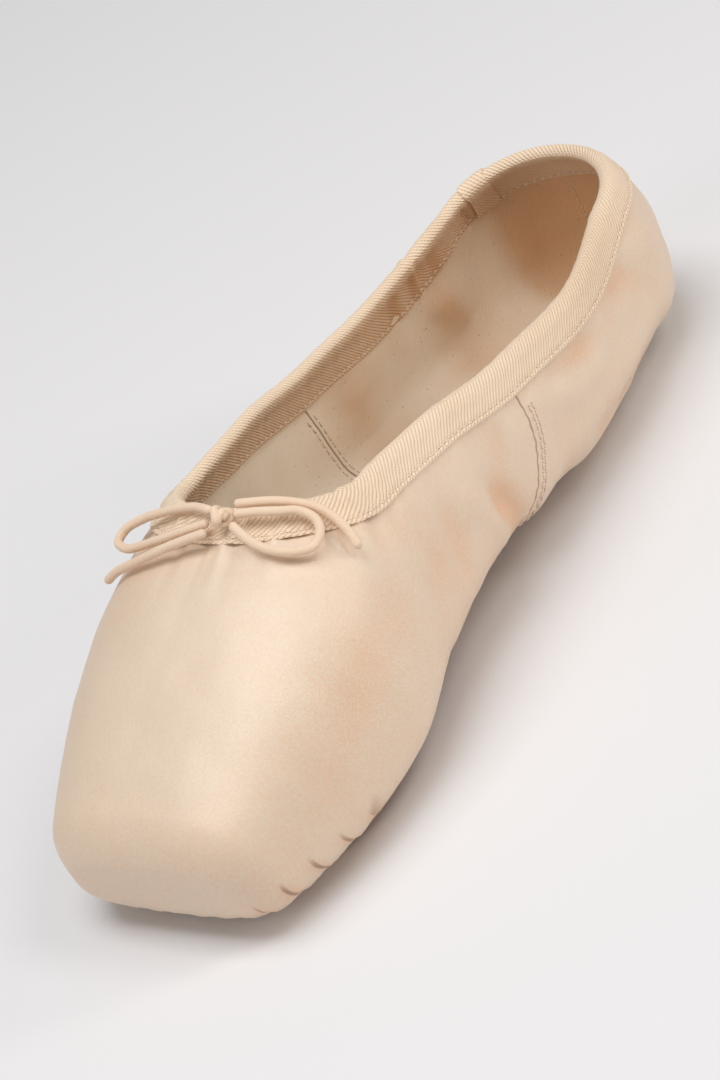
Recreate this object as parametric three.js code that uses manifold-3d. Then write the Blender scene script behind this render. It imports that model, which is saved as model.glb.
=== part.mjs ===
// Pointe shoe: a hollow satin upper on the true form of its last, leather outsole, insole,
// collar binding, heel strip and the drawstring's bow.
// Millimetres, +X towards the toe, +Y to the wearer's left, +Z up. The shoe stands on z = 0, and
// x = 0 is halfway along the last. Both halves are mirror images, so it fits either foot.

import * as THREE from "three";
import { mergeVertices } from "three/addons/utils/BufferGeometryUtils.js";
import Module from "manifold-3d";

const wasm = await Module();
wasm.setup();

// Driving sizes of the shoe
const shoeLength = 232;
const ballWidth = 79;
const instepHeight = 66;
const heelHeight = 50;
const archRise = 6.5;

// Upper
const quarterWall = 1.6;
const boxWall = 2.8;
const heelReach = 29;
const platformRim = 8;
const platformLean = 0.14;
const throatFromToe = 71;
const throatDepth = 21;

// Sole and insole
const soleThickness = 2.5;
const soleLength = 170;
const soleSetBack = 17;
const soleWidth = 62;
const soleEdgeBevel = 0.8;
const soleFrontReach = 32;
const soleRearReach = 20;
const turnUnder = 7;
const insoleThickness = 1.8;
const insoleSetBack = 24;
const insoleShare = 0.66;

// Trim
const tape = 1.2;
const bindingOutside = 8.5;
const bindingInside = 12;
const stripThickness = 0.9;
const stripWidth = 12.6;
const stripTopWidth = 9;
const cordDiameter = 2.1;
const seatGap = 0.3;

// Sections of the last, heel to toe. at: share of the length. width: share of the ball width.
// rise: share of the arch rise. heel and instep: the crown's height in shares of those two heights.
// girth: height of the widest line between underside and crown. crownPower and underPower: how
// square the section is above and below that line.
const lastSections = [
  { at: 0.13, width: 0.71, rise: 0, heel: 1.12, instep: 0, girth: 0.39, crownPower: 2.6, underPower: 2.9 },
  { at: 0.28, width: 0.82, rise: 0, heel: 0.84, instep: 0.22, girth: 0.36, crownPower: 2.7, underPower: 3 },
  { at: 0.4, width: 0.84, rise: 0.72, heel: 0.4, instep: 0.59, girth: 0.34, crownPower: 2.7, underPower: 3 },
  { at: 0.52, width: 0.83, rise: 1, heel: 0, instep: 0.98, girth: 0.32, crownPower: 2.6, underPower: 3 },
  { at: 0.64, width: 0.89, rise: 0.8, heel: 0, instep: 0.99, girth: 0.3, crownPower: 2.5, underPower: 3.2 },
  { at: 0.76, width: 1, rise: 0.22, heel: 0, instep: 0.89, girth: 0.31, crownPower: 2.6, underPower: 3.8 },
  { at: 0.85, width: 0.945, rise: 0, heel: 0, instep: 0.755, girth: 0.34, crownPower: 2.7, underPower: 3.8 },
  { at: 0.93, width: 0.82, rise: 0, heel: 0, instep: 0.6, girth: 0.38, crownPower: 2.8, underPower: 3.4 },
  { at: 1, width: 0.68, rise: 0.08, heel: 0, instep: 0.455, girth: 0.45, crownPower: 2.9, underPower: 3 },
];

// Collar line, heel to throat. at: share of the length. height: share of the crown's height there.
const collarLine = [
  { at: 0, height: 0.89 },
  { at: 0.11, height: 0.845 },
  { at: 0.24, height: 0.782 },
  { at: 0.37, height: 0.825 },
  { at: 0.5, height: 0.85 },
  { at: 0.6, height: 0.885 },
];

// Outsole's outline. at: share of the sole's length from its back. width: share of the sole's width.
const soleOutline = [
  { at: 0, width: 0.56 },
  { at: 0.12, width: 0.57 },
  { at: 0.32, width: 0.47 },
  { at: 0.46, width: 0.54 },
  { at: 0.66, width: 0.93 },
  { at: 0.78, width: 1 },
  { at: 0.88, width: 0.96 },
  { at: 1, width: 0.86 },
];

// Smooth curve through a table's column: slopes are level at its highs and lows.
function columnCurve(table, place, value) {
  const xs = table.map(place);
  const ys = table.map(value);
  const grade = (i) => (ys[i + 1] - ys[i]) / (xs[i + 1] - xs[i]);
  const last = xs.length - 1;
  const slopes = ys.map((_, i) => {
    if (i === 0) return grade(0);
    if (i === last) return grade(last - 1);
    const before = grade(i - 1);
    const after = grade(i);
    return before * after <= 0 ? 0 : (2 * before * after) / (before + after);
  });
  return (x) => {
    const inside = Math.min(Math.max(x, xs[0]), xs[last]);
    let i = 0;
    while (i < last - 1 && inside > xs[i + 1]) i += 1;
    const span = xs[i + 1] - xs[i];
    const t = (inside - xs[i]) / span;
    const back = 1 - t;
    return (
      ys[i] * (1 + 2 * t) * back * back +
      ys[i + 1] * (3 - 2 * t) * t * t +
      slopes[i] * span * t * back * back -
      slopes[i + 1] * span * t * t * back
    );
  };
}

const heelEnd = -shoeLength / 2;
const toeEnd = shoeLength / 2;
const along = (row) => heelEnd + row.at * shoeLength;
const underHeight = soleThickness + seatGap;
const halfWidth = columnCurve(lastSections, along, (s) => (s.width * ballWidth) / 2);
const underside = columnCurve(lastSections, along, (s) => underHeight + s.rise * archRise);
const crown = columnCurve(lastSections, along, (s) => s.heel * heelHeight + s.instep * instepHeight);
const girth = columnCurve(lastSections, along, (s) => s.girth);
const crownPower = columnCurve(lastSections, along, (s) => s.crownPower);
const underPower = columnCurve(lastSections, along, (s) => s.underPower);
const collarShare = columnCurve(collarLine, along, (s) => s.height);
const collarHeight = (x) => collarShare(x) * crown(x);
const girthHeight = (x) => underside(x) + girth(x) * (crown(x) - underside(x));

const heelCentre = heelEnd + heelReach;
const heelPower = 2.1;
const rimStart = toeEnd - platformRim;

// How far out a point of the plan lies, as a share of the section's half width.
function planShare(x, y, inset) {
  const side = Math.abs(y) / (halfWidth(x) - inset);
  if (x >= heelCentre) return side;
  const back = (heelCentre - x) / heelReach;
  return (back ** heelPower + side ** heelPower) ** (1 / heelPower);
}

// True inside the last's outer form.
function insideLast(x, y, z) {
  const ahead = x + platformLean * (crown(toeEnd) - z);
  if (ahead >= toeEnd) return false;
  const turn = Math.max(ahead - rimStart, 0);
  const inset = platformRim - Math.sqrt(platformRim * platformRim - turn * turn);
  const middle = girthHeight(x);
  const above = z > middle;
  const reach = (above ? crown(x) - middle : middle - underside(x)) - inset;
  const power = above ? crownPower(x) : underPower(x);
  return planShare(x, y, inset) ** power + (Math.abs(z - middle) / reach) ** power < 1;
}

// Height of the last's underside over a point of the plan.
function undersideAt(x, y) {
  const middle = girthHeight(x);
  const power = underPower(x);
  const share = Math.min(planShare(x, y, 0), 1);
  return middle - (middle - underside(x)) * (1 - share ** power) ** (1 / power);
}

// Columns run down the upper from the collar and turn under it. Each is a fan of rays in one
// upright plane, from a point of the shoe's spine: a fan round the toe, the sides, a heel fan.
const soleBack = toeEnd - soleSetBack - soleLength;
const soleFront = toeEnd - soleSetBack;
const throatFront = toeEnd - throatFromToe;
const toeFan = throatFront - throatDepth;
const heelFan = soleBack + soleRearReach;
const spineHeight = instepHeight / 3;
const outOfReach = shoeLength;

function surfacePoint(column, rise, turn = 0) {
  const heading = column.heading + turn;
  const way = new THREE.Vector3(
    Math.cos(rise) * Math.cos(heading),
    Math.cos(rise) * Math.sin(heading),
    Math.sin(rise),
  );
  let near = 0;
  let far = outOfReach;
  for (let step = 0; step < 44; step += 1) {
    const mid = (near + far) / 2;
    const hit = insideLast(column.spine + way.x * mid, way.y * mid, spineHeight + way.z * mid);
    if (hit) near = mid;
    else far = mid;
  }
  return way.multiplyScalar(near).add(new THREE.Vector3(column.spine, 0, spineHeight));
}

function surfaceNormal(column, rise) {
  const nudge = 2e-3;
  const across = surfacePoint(column, rise, nudge).sub(surfacePoint(column, rise, -nudge));
  const up = surfacePoint(column, rise + nudge).sub(surfacePoint(column, rise - nudge));
  return across.cross(up).normalize();
}

// The ray angle at which a test on the surface point turns true, between two angles.
function riseWhere(column, low, high, test) {
  let no = low;
  let yes = high;
  for (let step = 0; step < 40; step += 1) {
    const mid = (no + yes) / 2;
    if (test(surfacePoint(column, mid))) yes = mid;
    else no = mid;
  }
  return yes;
}

const nearlyUpright = 1.5;
const throatPower = 2.4;
const throatCorner = collarPoint({ spine: toeFan, heading: Math.PI / 2, fan: "side" }).y;

// Plan distance of the throat's edge from the toe fan's centre.
function throatReach(heading) {
  const ahead = Math.abs(Math.cos(heading)) / throatDepth;
  const side = Math.abs(Math.sin(heading)) / throatCorner;
  return (ahead ** throatPower + side ** throatPower) ** (-1 / throatPower);
}

function collarRise(column) {
  if (column.fan === "toe") {
    const reach = throatReach(column.heading);
    return riseWhere(column, nearlyUpright, 0, (p) => Math.hypot(p.x - toeFan, p.y) > reach);
  }
  return riseWhere(column, nearlyUpright, 0, (p) => p.z < collarHeight(p.x));
}

function collarPoint(column) {
  return surfacePoint(column, collarRise(column));
}

// Half width of the sole's outline, drawn in by an inset all round, with rounded ends.
const soleShare = columnCurve(soleOutline, (s) => soleBack + s.at * soleLength, (s) => s.width);
const capPower = 2.2;

function roundedCap(distance, reach) {
  const share = Math.min(Math.max(distance / reach, 0), 1);
  return (1 - share ** capPower) ** (1 / capPower);
}

function soleHalf(x, inset) {
  const body = (soleShare(x) * soleWidth) / 2 - inset;
  const front = roundedCap(x - (soleFront - soleFrontReach), soleFrontReach - inset);
  const rear = roundedCap(soleBack + soleRearReach - x, soleRearReach - inset);
  return body * front * rear;
}

function openingRise(column) {
  const low = -nearlyUpright;
  return riseWhere(column, low, -0.1, (p) => Math.abs(p.y) >= soleHalf(p.x, turnUnder));
}

// Columns of the left half, toe to heel.
const toeColumns = 14;
const sideColumns = 9;
const heelColumns = 12;
const fanBunching = 1.4;

function halfColumns() {
  const columns = [];
  for (let i = 0; i < toeColumns; i += 1) {
    const heading = (Math.PI / 2) * (i / toeColumns) ** fanBunching;
    columns.push({ spine: toeFan, heading, fan: "toe" });
  }
  for (let i = 0; i < sideColumns; i += 1) {
    const spine = toeFan + ((heelFan - toeFan) * i) / sideColumns;
    columns.push({ spine, heading: Math.PI / 2, fan: "side" });
  }
  for (let i = 0; i <= heelColumns; i += 1) {
    const heading = (Math.PI / 2) * (2 - (1 - i / heelColumns) ** fanBunching);
    columns.push({ spine: heelFan, heading, fan: "heel" });
  }
  return columns;
}

// Points down a column, closer together where the surface turns.
const turnWeight = 9;
const walkSteps = 240;

function walk(column, from, to) {
  const steps = [];
  let travelled = 0;
  let measure = 0;
  let last = null;
  for (let i = 0; i <= walkSteps; i += 1) {
    const rise = from + ((to - from) * i) / walkSteps;
    const point = surfacePoint(column, rise);
    if (last) {
      const step = point.clone().sub(last.point);
      const turned = last.step ? step.angleTo(last.step) : 0;
      travelled += step.length();
      measure += step.length() + turnWeight * turned;
      last = { point, step };
    } else {
      last = { point, step: null };
    }
    steps.push({ rise, travelled, measure });
  }
  return steps;
}

function riseAt(steps, key, value) {
  let i = 1;
  while (i < steps.length - 1 && steps[i][key] < value) i += 1;
  const t = (value - steps[i - 1][key]) / (steps[i][key] - steps[i - 1][key]);
  return steps[i - 1].rise + t * (steps[i].rise - steps[i - 1].rise);
}

function wallAt(x) {
  const t = Math.min(Math.max((x - throatFront) / (throatFromToe / 3), 0), 1);
  return quarterWall + (boxWall - quarterWall) * t * t * (3 - 2 * t);
}

const upperRows = 17;

function outerColumn(column) {
  const steps = walk(column, collarRise(column), openingRise(column));
  const whole = steps[steps.length - 1].measure;
  const rows = [];
  for (let i = 0; i <= upperRows; i += 1) {
    const rise = riseAt(steps, "measure", (whole * i) / upperRows);
    rows.push({ point: surfacePoint(column, rise), normal: surfaceNormal(column, rise) });
  }
  return rows;
}

// A closed loop of sections, from those of the left half: the right half mirrors them.
function wholeLoop(half) {
  const mirrored = half
    .slice(1, -1)
    .reverse()
    .map((section) => section.map((p) => new THREE.Vector3(p.x, -p.y, p.z)));
  const flat = (section) => section.map((p) => p.clone());
  return [...half.map(flat), ...mirrored];
}

// Solid ring through a loop of closed sections with the same number of points.
function ringSolid(sections) {
  const corners = [];
  const triangles = [];
  const size = sections[0].length;
  sections.forEach((section) => section.forEach((p) => corners.push(p.x, p.y, p.z)));
  sections.forEach((_, i) => {
    const next = (i + 1) % sections.length;
    for (let j = 0; j < size; j += 1) {
      const k = (j + 1) % size;
      const a = i * size + j;
      const b = i * size + k;
      const c = next * size + k;
      const d = next * size + j;
      triangles.push(a, b, c, a, c, d);
    }
  });
  return facingOut(corners, triangles);
}

// Solid along a row of closed sections, its two end sections closed flat.
function barSolid(sections) {
  const corners = [];
  const triangles = [];
  const size = sections[0].length;
  sections.forEach((section) => section.forEach((p) => corners.push(p.x, p.y, p.z)));
  for (let i = 0; i + 1 < sections.length; i += 1) {
    for (let j = 0; j < size; j += 1) {
      const k = (j + 1) % size;
      const a = i * size + j;
      const d = (i + 1) * size + j;
      triangles.push(a, i * size + k, (i + 1) * size + k, a, (i + 1) * size + k, d);
    }
  }
  // Each end is two equal runs of points, so it closes as a strip between them.
  const half = size / 2;
  const end = (sections.length - 1) * size;
  for (let j = 0; j + 1 < half; j += 1) {
    const k = size - 1 - j;
    triangles.push(j, k, k - 1, j, k - 1, j + 1);
    triangles.push(end + j, end + k - 1, end + k, end + j, end + j + 1, end + k - 1);
  }
  return facingOut(corners, triangles);
}

// Geometry with its faces pointing out, and its touching corners merged.
function facingOut(corners, triangles) {
  const geometry = new THREE.BufferGeometry();
  geometry.setAttribute("position", new THREE.Float32BufferAttribute(corners, 3));
  geometry.setIndex(triangles);
  const merged = mergeVertices(geometry, 1e-4);
  const index = merged.index.array;
  const position = merged.attributes.position;
  const kept = [];
  let volume = 0;
  const a = new THREE.Vector3();
  const b = new THREE.Vector3();
  const c = new THREE.Vector3();
  for (let i = 0; i < index.length; i += 3) {
    const [u, v, w] = [index[i], index[i + 1], index[i + 2]];
    if (u === v || v === w || w === u) continue;
    kept.push(u, v, w);
    a.fromBufferAttribute(position, u);
    b.fromBufferAttribute(position, v);
    c.fromBufferAttribute(position, w);
    volume += a.dot(b.cross(c));
  }
  if (volume < 0) kept.reverse();
  merged.setIndex(kept);
  return merged;
}

function toManifold(geometry) {
  const plain = new THREE.BufferGeometry();
  plain.setAttribute("position", geometry.getAttribute("position"));
  plain.setIndex(geometry.index);
  const merged = mergeVertices(plain, 1e-4);
  return new wasm.Manifold(
    new wasm.Mesh({
      numProp: 3,
      vertProperties: new Float32Array(merged.attributes.position.array),
      triVerts: new Uint32Array(merged.index.array),
    }),
  );
}

function toGeometry(solid) {
  const mesh = solid.getMesh();
  const geometry = new THREE.BufferGeometry();
  geometry.setAttribute("position", new THREE.BufferAttribute(mesh.vertProperties, 3));
  geometry.setIndex(new THREE.BufferAttribute(mesh.triVerts, 1));
  return geometry;
}

const columns = halfColumns();

// Upper: outer face down each column, then the inner face back up it.
function upperGeometry() {
  const half = columns.map((column) => {
    const rows = outerColumn(column);
    const inner = rows.map((row) =>
      row.point.clone().addScaledVector(row.normal, -wallAt(row.point.x)),
    );
    return [...rows.map((row) => row.point), ...inner.reverse()];
  });
  return ringSolid(wholeLoop(half));
}

// Collar binding: tape folded over the collar's edge, held off the upper by the seat gap.
function bindingSection(column) {
  const steps = walk(column, collarRise(column), openingRise(column));
  const edge = steps[0].rise;
  const edgePoint = surfacePoint(column, edge);
  const edgeNormal = surfaceNormal(column, edge);
  const upwards = edgePoint.clone().sub(surfacePoint(column, edge - 0.01)).normalize();
  const above = (out, height) =>
    edgePoint.clone().addScaledVector(edgeNormal, out).addScaledVector(upwards, height);
  const outside = (out, drop) => {
    const rise = riseAt(steps, "travelled", drop);
    return surfacePoint(column, rise).addScaledVector(surfaceNormal(column, rise), out);
  };
  const inside = (deep, drop) => {
    const rise = riseAt(steps, "travelled", drop);
    const point = surfacePoint(column, rise);
    return point.addScaledVector(surfaceNormal(column, rise), -wallAt(point.x) - deep);
  };
  const wall = wallAt(edgePoint.x);
  const face = seatGap + tape;
  const shoulder = seatGap + tape * 0.75;
  return [
    outside(face, bindingOutside),
    outside(face, bindingOutside / 2),
    outside(face, 0),
    above(face * 0.6, shoulder),
    above(-wall / 2, face),
    above(-wall - face * 0.6, shoulder),
    inside(face, 0),
    inside(face, bindingInside / 2),
    inside(face, bindingInside),
    inside(seatGap, bindingInside),
    inside(seatGap, bindingInside / 2),
    above(-wall - seatGap, seatGap),
    above(seatGap, seatGap),
    outside(seatGap, bindingOutside / 2),
    outside(seatGap, bindingOutside),
  ];
}

function bindingGeometry() {
  return ringSolid(wholeLoop(columns.map(bindingSection)));
}

// Heel strip: from the binding's lower edge down the heel and under it to the outsole's back.
const stripRows = 16;
const stripAcross = 4;

function stripGeometry() {
  const middle = { spine: heelFan, heading: Math.PI, fan: "heel" };
  const underEnd = riseWhere(middle, -nearlyUpright, -0.1, (p) => p.x < soleBack - seatGap);
  const steps = walk(middle, collarRise(middle), underEnd);
  const whole = steps[steps.length - 1].travelled;
  const top = bindingOutside + seatGap;
  const sections = [];
  for (let i = 0; i <= stripRows; i += 1) {
    const share = i / stripRows;
    const rise = riseAt(steps, "travelled", top + (whole - top) * share);
    const reach = surfacePoint(middle, rise).x - heelFan;
    const width = stripTopWidth + (stripWidth - stripTopWidth) * Math.min(share * 2, 1);
    const outer = [];
    const inner = [];
    for (let j = 0; j <= stripAcross; j += 1) {
      const side = (width / 2) * ((2 * j) / stripAcross - 1);
      const column = { spine: heelFan, heading: Math.PI + Math.asin(side / reach), fan: "heel" };
      const normal = surfaceNormal(column, rise);
      const point = surfacePoint(column, rise);
      outer.push(point.clone().addScaledVector(normal, seatGap + stripThickness));
      inner.push(point.clone().addScaledVector(normal, seatGap));
    }
    sections.push([...outer, ...inner.reverse()]);
  }
  return barSolid(sections);
}

// Plate between two heights over an outline, one section for each place along it.
function plateGeometry(back, front, stations, across, halfTop, halfBottom, top, bottom) {
  const sections = [];
  for (let i = 0; i <= stations; i += 1) {
    const turn = (Math.PI * i) / stations;
    const even = back + ((front - back) * i) / stations;
    const rounded = back + (front - back) * (0.5 - 0.5 * Math.cos(turn));
    const x = 0.45 * even + 0.55 * rounded;
    const upper = [];
    const lower = [];
    for (let j = 0; j <= across; j += 1) {
      const share = (2 * j) / across - 1;
      const yTop = share * halfTop(x);
      const yBottom = share * halfBottom(x);
      upper.push(new THREE.Vector3(x, yTop, top(x, yTop)));
      lower.push(new THREE.Vector3(x, yBottom, bottom(x, yBottom)));
    }
    sections.push([...upper, ...lower.reverse()]);
  }
  return barSolid(sections);
}

// Outsole: its top lies under the upper, and its underside cups with it beyond the flat tread.
const treadCup = 0.3;
const tipHalf = 2;

function outsoleTop(x, y) {
  return undersideAt(x, y) - seatGap;
}

function outsoleBottom(x, y) {
  const rise = underside(x) - underHeight;
  const cup = undersideAt(x, y) - undersideAt(x, 0);
  return rise + Math.max(cup - treadCup, 0);
}

function outsoleGeometry() {
  const half = (inset) => (x) => Math.max(soleHalf(x, inset), tipHalf - inset);
  return plateGeometry(
    soleBack,
    soleFront,
    30,
    10,
    half(0),
    half(soleEdgeBevel),
    outsoleTop,
    outsoleBottom,
  );
}

// Insole: a sock on the upper's turned margin, with a filler that drops into the opening.
const insoleBack = heelCentre - heelReach * 0.55;
const insoleFront = toeEnd - insoleSetBack;
const insoleCap = 26;

function insoleHalf(x) {
  const body = insoleShare * (halfWidth(x) - quarterWall);
  const front = roundedCap(x - (insoleFront - insoleCap), insoleCap);
  const rear = roundedCap(insoleBack + insoleCap * 0.8 - x, insoleCap * 0.8);
  return Math.max(body * front * rear, tipHalf);
}

function insoleFloor(x, y) {
  const slope = undersideAt(x, Math.abs(y) + 0.5) - undersideAt(x, Math.abs(y) - 0.5);
  return undersideAt(x, y) + (wallAt(x) + seatGap) * Math.hypot(1, slope);
}

function insoleGeometry() {
  const sock = plateGeometry(
    insoleBack,
    insoleFront,
    24,
    6,
    insoleHalf,
    insoleHalf,
    (x, y) => insoleFloor(x, y) + insoleThickness,
    insoleFloor,
  );
  const inset = turnUnder + 0.8;
  const fillerHalf = (x) => Math.max(soleHalf(x, inset), tipHalf / 2);
  const filler = plateGeometry(
    soleBack + inset,
    soleFront - inset,
    20,
    2,
    fillerHalf,
    fillerHalf,
    (x, y) => insoleFloor(x, y) + insoleThickness / 2,
    (x, y) => outsoleTop(x, y) + seatGap,
  );
  return toGeometry(toManifold(sock).add(toManifold(filler)));
}

// Drawstring's bow on the throat: a knot, two loops and two free ends, drawn as they lie.
const knotCentre = new THREE.Vector3(50.1, 4, 66.7);
const knotHalf = new THREE.Vector3(3.2, 2.7, 2.5);
const bowStrands = {
  bow_loop_right: [
    [48.6, 0.8, 66.9], [47.4, -4, 66.9], [47, -9.5, 66.1], [47.1, -15.4, 64.9], [47.6, -21.6, 63.2],
    [49.4, -26.6, 61.4], [52, -27.6, 60], [53.9, -24, 59.9], [54, -17.4, 61.5], [53.4, -10, 63.5],
    [52.5, -4, 65], [51.2, 0.8, 65.8],
  ],
  bow_end_right: [
    [53.6, 1.6, 65.3], [55, -2.6, 64.6], [56.2, -7.2, 63.6], [57.2, -12, 62.2], [57.9, -17, 60.4],
    [58, -22, 58.4], [57.8, -26.6, 56.2], [57.6, -31, 53.2],
  ],
  bow_loop_left: [
    [49.3, 7.2, 66.8], [47.9, 12, 66.4], [46.3, 16.6, 65.4], [44.4, 21, 64], [44.8, 24.6, 62.2], [47, 26.4, 60.5],
    [50.2, 26, 59.3], [52.8, 23, 59.8], [54.2, 18.6, 61.1], [54.2, 14, 62.9], [53, 10.4, 64.6], [51.3, 7.2, 65.8],
  ],
  bow_end_left: [
    [46.6, 6, 67.4], [45.5, 10.2, 67.1], [43.9, 14.6, 66.2], [42.3, 19, 64.5], [41.4, 23.4, 62.3],
    [41.9, 27.4, 59.5], [43.2, 30.6, 56.5], [44.8, 32.6, 54],
  ],
};
const cordSides = 8;
const cordStep = 2.4 * cordDiameter;

function cordGeometry(points) {
  const route = new THREE.CatmullRomCurve3(points.map((p) => new THREE.Vector3(...p)));
  const round = new THREE.Shape();
  for (let i = 0; i < cordSides; i += 1) {
    const turn = (2 * Math.PI * i) / cordSides;
    const x = (cordDiameter / 2) * Math.cos(turn);
    const y = (cordDiameter / 2) * Math.sin(turn);
    if (i === 0) round.moveTo(x, y);
    else round.lineTo(x, y);
  }
  round.closePath();
  const steps = Math.ceil((1.6 * route.getLength()) / cordStep);
  return new THREE.ExtrudeGeometry(round, { steps, bevelEnabled: false, extrudePath: route });
}

function knotGeometry() {
  const ball = new THREE.SphereGeometry(1, 14, 10);
  ball.scale(knotHalf.x, knotHalf.y, knotHalf.z);
  ball.translate(knotCentre.x, knotCentre.y, knotCentre.z);
  return ball;
}

// Materials
const satin = new THREE.MeshStandardMaterial({ color: 0xe9c9ae, roughness: 0.38, metalness: 0 });
const twill = new THREE.MeshStandardMaterial({ color: 0xebc7a2, roughness: 0.75, metalness: 0 });
const leather = new THREE.MeshStandardMaterial({ color: 0x8f5c42, roughness: 0.62, metalness: 0 });
const cotton = new THREE.MeshStandardMaterial({ color: 0xe6d3b4, roughness: 0.9, metalness: 0 });
const cordFinish = new THREE.MeshStandardMaterial({ color: 0xf0c8aa, roughness: 0.7, metalness: 0 });

const shoe = new THREE.Group();

function addPiece(name, geometry, material) {
  const mesh = new THREE.Mesh(geometry, material);
  mesh.name = name;
  shoe.add(mesh);
}

addPiece("upper", upperGeometry(), satin);
addPiece("outsole", outsoleGeometry(), leather);
addPiece("insole", insoleGeometry(), cotton);
addPiece("collar_binding", bindingGeometry(), twill);
addPiece("heel_strip", stripGeometry(), satin);
addPiece("bow_knot", knotGeometry(), cordFinish);
for (const [name, points] of Object.entries(bowStrands)) {
  addPiece(name, cordGeometry(points), cordFinish);
}

export default shoe;
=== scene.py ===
"""Looks of a pointe shoe: satin upper, lining, binding, strip, soles, stitches and bow.

Sizes are in millimetres, as a shoemaker gives them, and turn into metres where a mesh is made.
+X points to the toe, +Y to the wearer's left and +Z up; the shoe stands on z = 0.
"""

import logging
import math
from dataclasses import dataclass, field, replace
from enum import Enum
from typing import Callable, NamedTuple, Sequence

import bpy
import numpy as np
from mathutils import Matrix, Vector
from mathutils.kdtree import KDTree


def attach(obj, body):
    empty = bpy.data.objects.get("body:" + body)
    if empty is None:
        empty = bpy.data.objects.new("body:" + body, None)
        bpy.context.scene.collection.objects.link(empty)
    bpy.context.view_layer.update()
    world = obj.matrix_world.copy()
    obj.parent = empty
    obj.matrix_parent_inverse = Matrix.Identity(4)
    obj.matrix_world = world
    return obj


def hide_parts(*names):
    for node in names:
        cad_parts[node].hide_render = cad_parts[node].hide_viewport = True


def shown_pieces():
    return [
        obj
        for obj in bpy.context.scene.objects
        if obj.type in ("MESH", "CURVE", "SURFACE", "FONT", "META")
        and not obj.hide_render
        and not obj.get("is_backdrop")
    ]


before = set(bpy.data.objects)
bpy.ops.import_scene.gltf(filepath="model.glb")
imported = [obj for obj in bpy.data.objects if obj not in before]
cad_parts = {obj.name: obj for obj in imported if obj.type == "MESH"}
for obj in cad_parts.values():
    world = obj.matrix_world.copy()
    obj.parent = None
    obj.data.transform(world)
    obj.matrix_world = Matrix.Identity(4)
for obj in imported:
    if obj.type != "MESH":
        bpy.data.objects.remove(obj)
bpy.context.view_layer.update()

log = logging.getLogger("pointe_shoe")
MM = 0.001

Array = np.ndarray
Point = tuple[float, float, float]


# The last


class Section(NamedTuple):
    """One section of the last; heights and widths are shares of the named sizes."""

    at: float
    width: float
    rise: float
    heel: float
    instep: float
    girth: float
    crown_power: float
    under_power: float


LAST_SECTIONS = (
    Section(0.13, 0.71, 0, 1.12, 0, 0.39, 2.6, 2.9),
    Section(0.28, 0.82, 0, 0.84, 0.22, 0.36, 2.7, 3),
    Section(0.4, 0.84, 0.72, 0.4, 0.59, 0.34, 2.7, 3),
    Section(0.52, 0.83, 1, 0, 0.98, 0.32, 2.6, 3),
    Section(0.64, 0.89, 0.8, 0, 0.99, 0.3, 2.5, 3.2),
    Section(0.76, 1, 0.22, 0, 0.89, 0.31, 2.6, 3.8),
    Section(0.85, 0.945, 0, 0, 0.755, 0.34, 2.7, 3.8),
    Section(0.93, 0.82, 0, 0, 0.6, 0.38, 2.8, 3.4),
    Section(1, 0.68, 0.08, 0, 0.455, 0.45, 2.9, 3),
)


class Station(NamedTuple):
    """A share of a named size at a share of a length."""

    at: float
    share: float


COLLAR_LINE = (
    Station(0, 0.89),
    Station(0.11, 0.845),
    Station(0.24, 0.782),
    Station(0.37, 0.825),
    Station(0.5, 0.85),
    Station(0.6, 0.885),
)
SOLE_OUTLINE = (
    Station(0, 0.56),
    Station(0.12, 0.57),
    Station(0.32, 0.47),
    Station(0.46, 0.54),
    Station(0.66, 0.93),
    Station(0.78, 1),
    Station(0.88, 0.96),
    Station(1, 0.86),
)


def level_curve(places: Sequence[float], values: Sequence[float]) -> Callable[[Array], Array]:
    """Smooth curve through values, level at its highs and lows.

    Args:
        places: where the values stand, rising.
        values: the values there.

    Returns:
        A function of an array of places.
    """
    xs = np.array(places, float)
    ys = np.array(values, float)
    grade = np.diff(ys) / np.diff(xs)
    slope = np.zeros_like(ys)
    slope[0], slope[-1] = grade[0], grade[-1]
    for i in range(1, len(ys) - 1):
        before, after = grade[i - 1], grade[i]
        slope[i] = 0 if before * after <= 0 else 2 * before * after / (before + after)

    def value(x: Array) -> Array:
        """The curve's value at x.

        Args:
            x: places.

        Returns:
            The values there.
        """
        x = np.clip(x, xs[0], xs[-1])
        i = np.clip(np.searchsorted(xs, x) - 1, 0, len(xs) - 2)
        span = xs[i + 1] - xs[i]
        t = (x - xs[i]) / span
        back = 1 - t
        start = ys[i] * (1 + 2 * t) * back * back + slope[i] * span * t * back * back
        return start + ys[i + 1] * (3 - 2 * t) * t * t - slope[i + 1] * span * t * t * back

    return value


@dataclass
class Columns:
    """Fans of upright planes that run down the shoe: round the toe, the sides and the heel."""

    spine: Array
    heading: Array
    toe: Array


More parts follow.
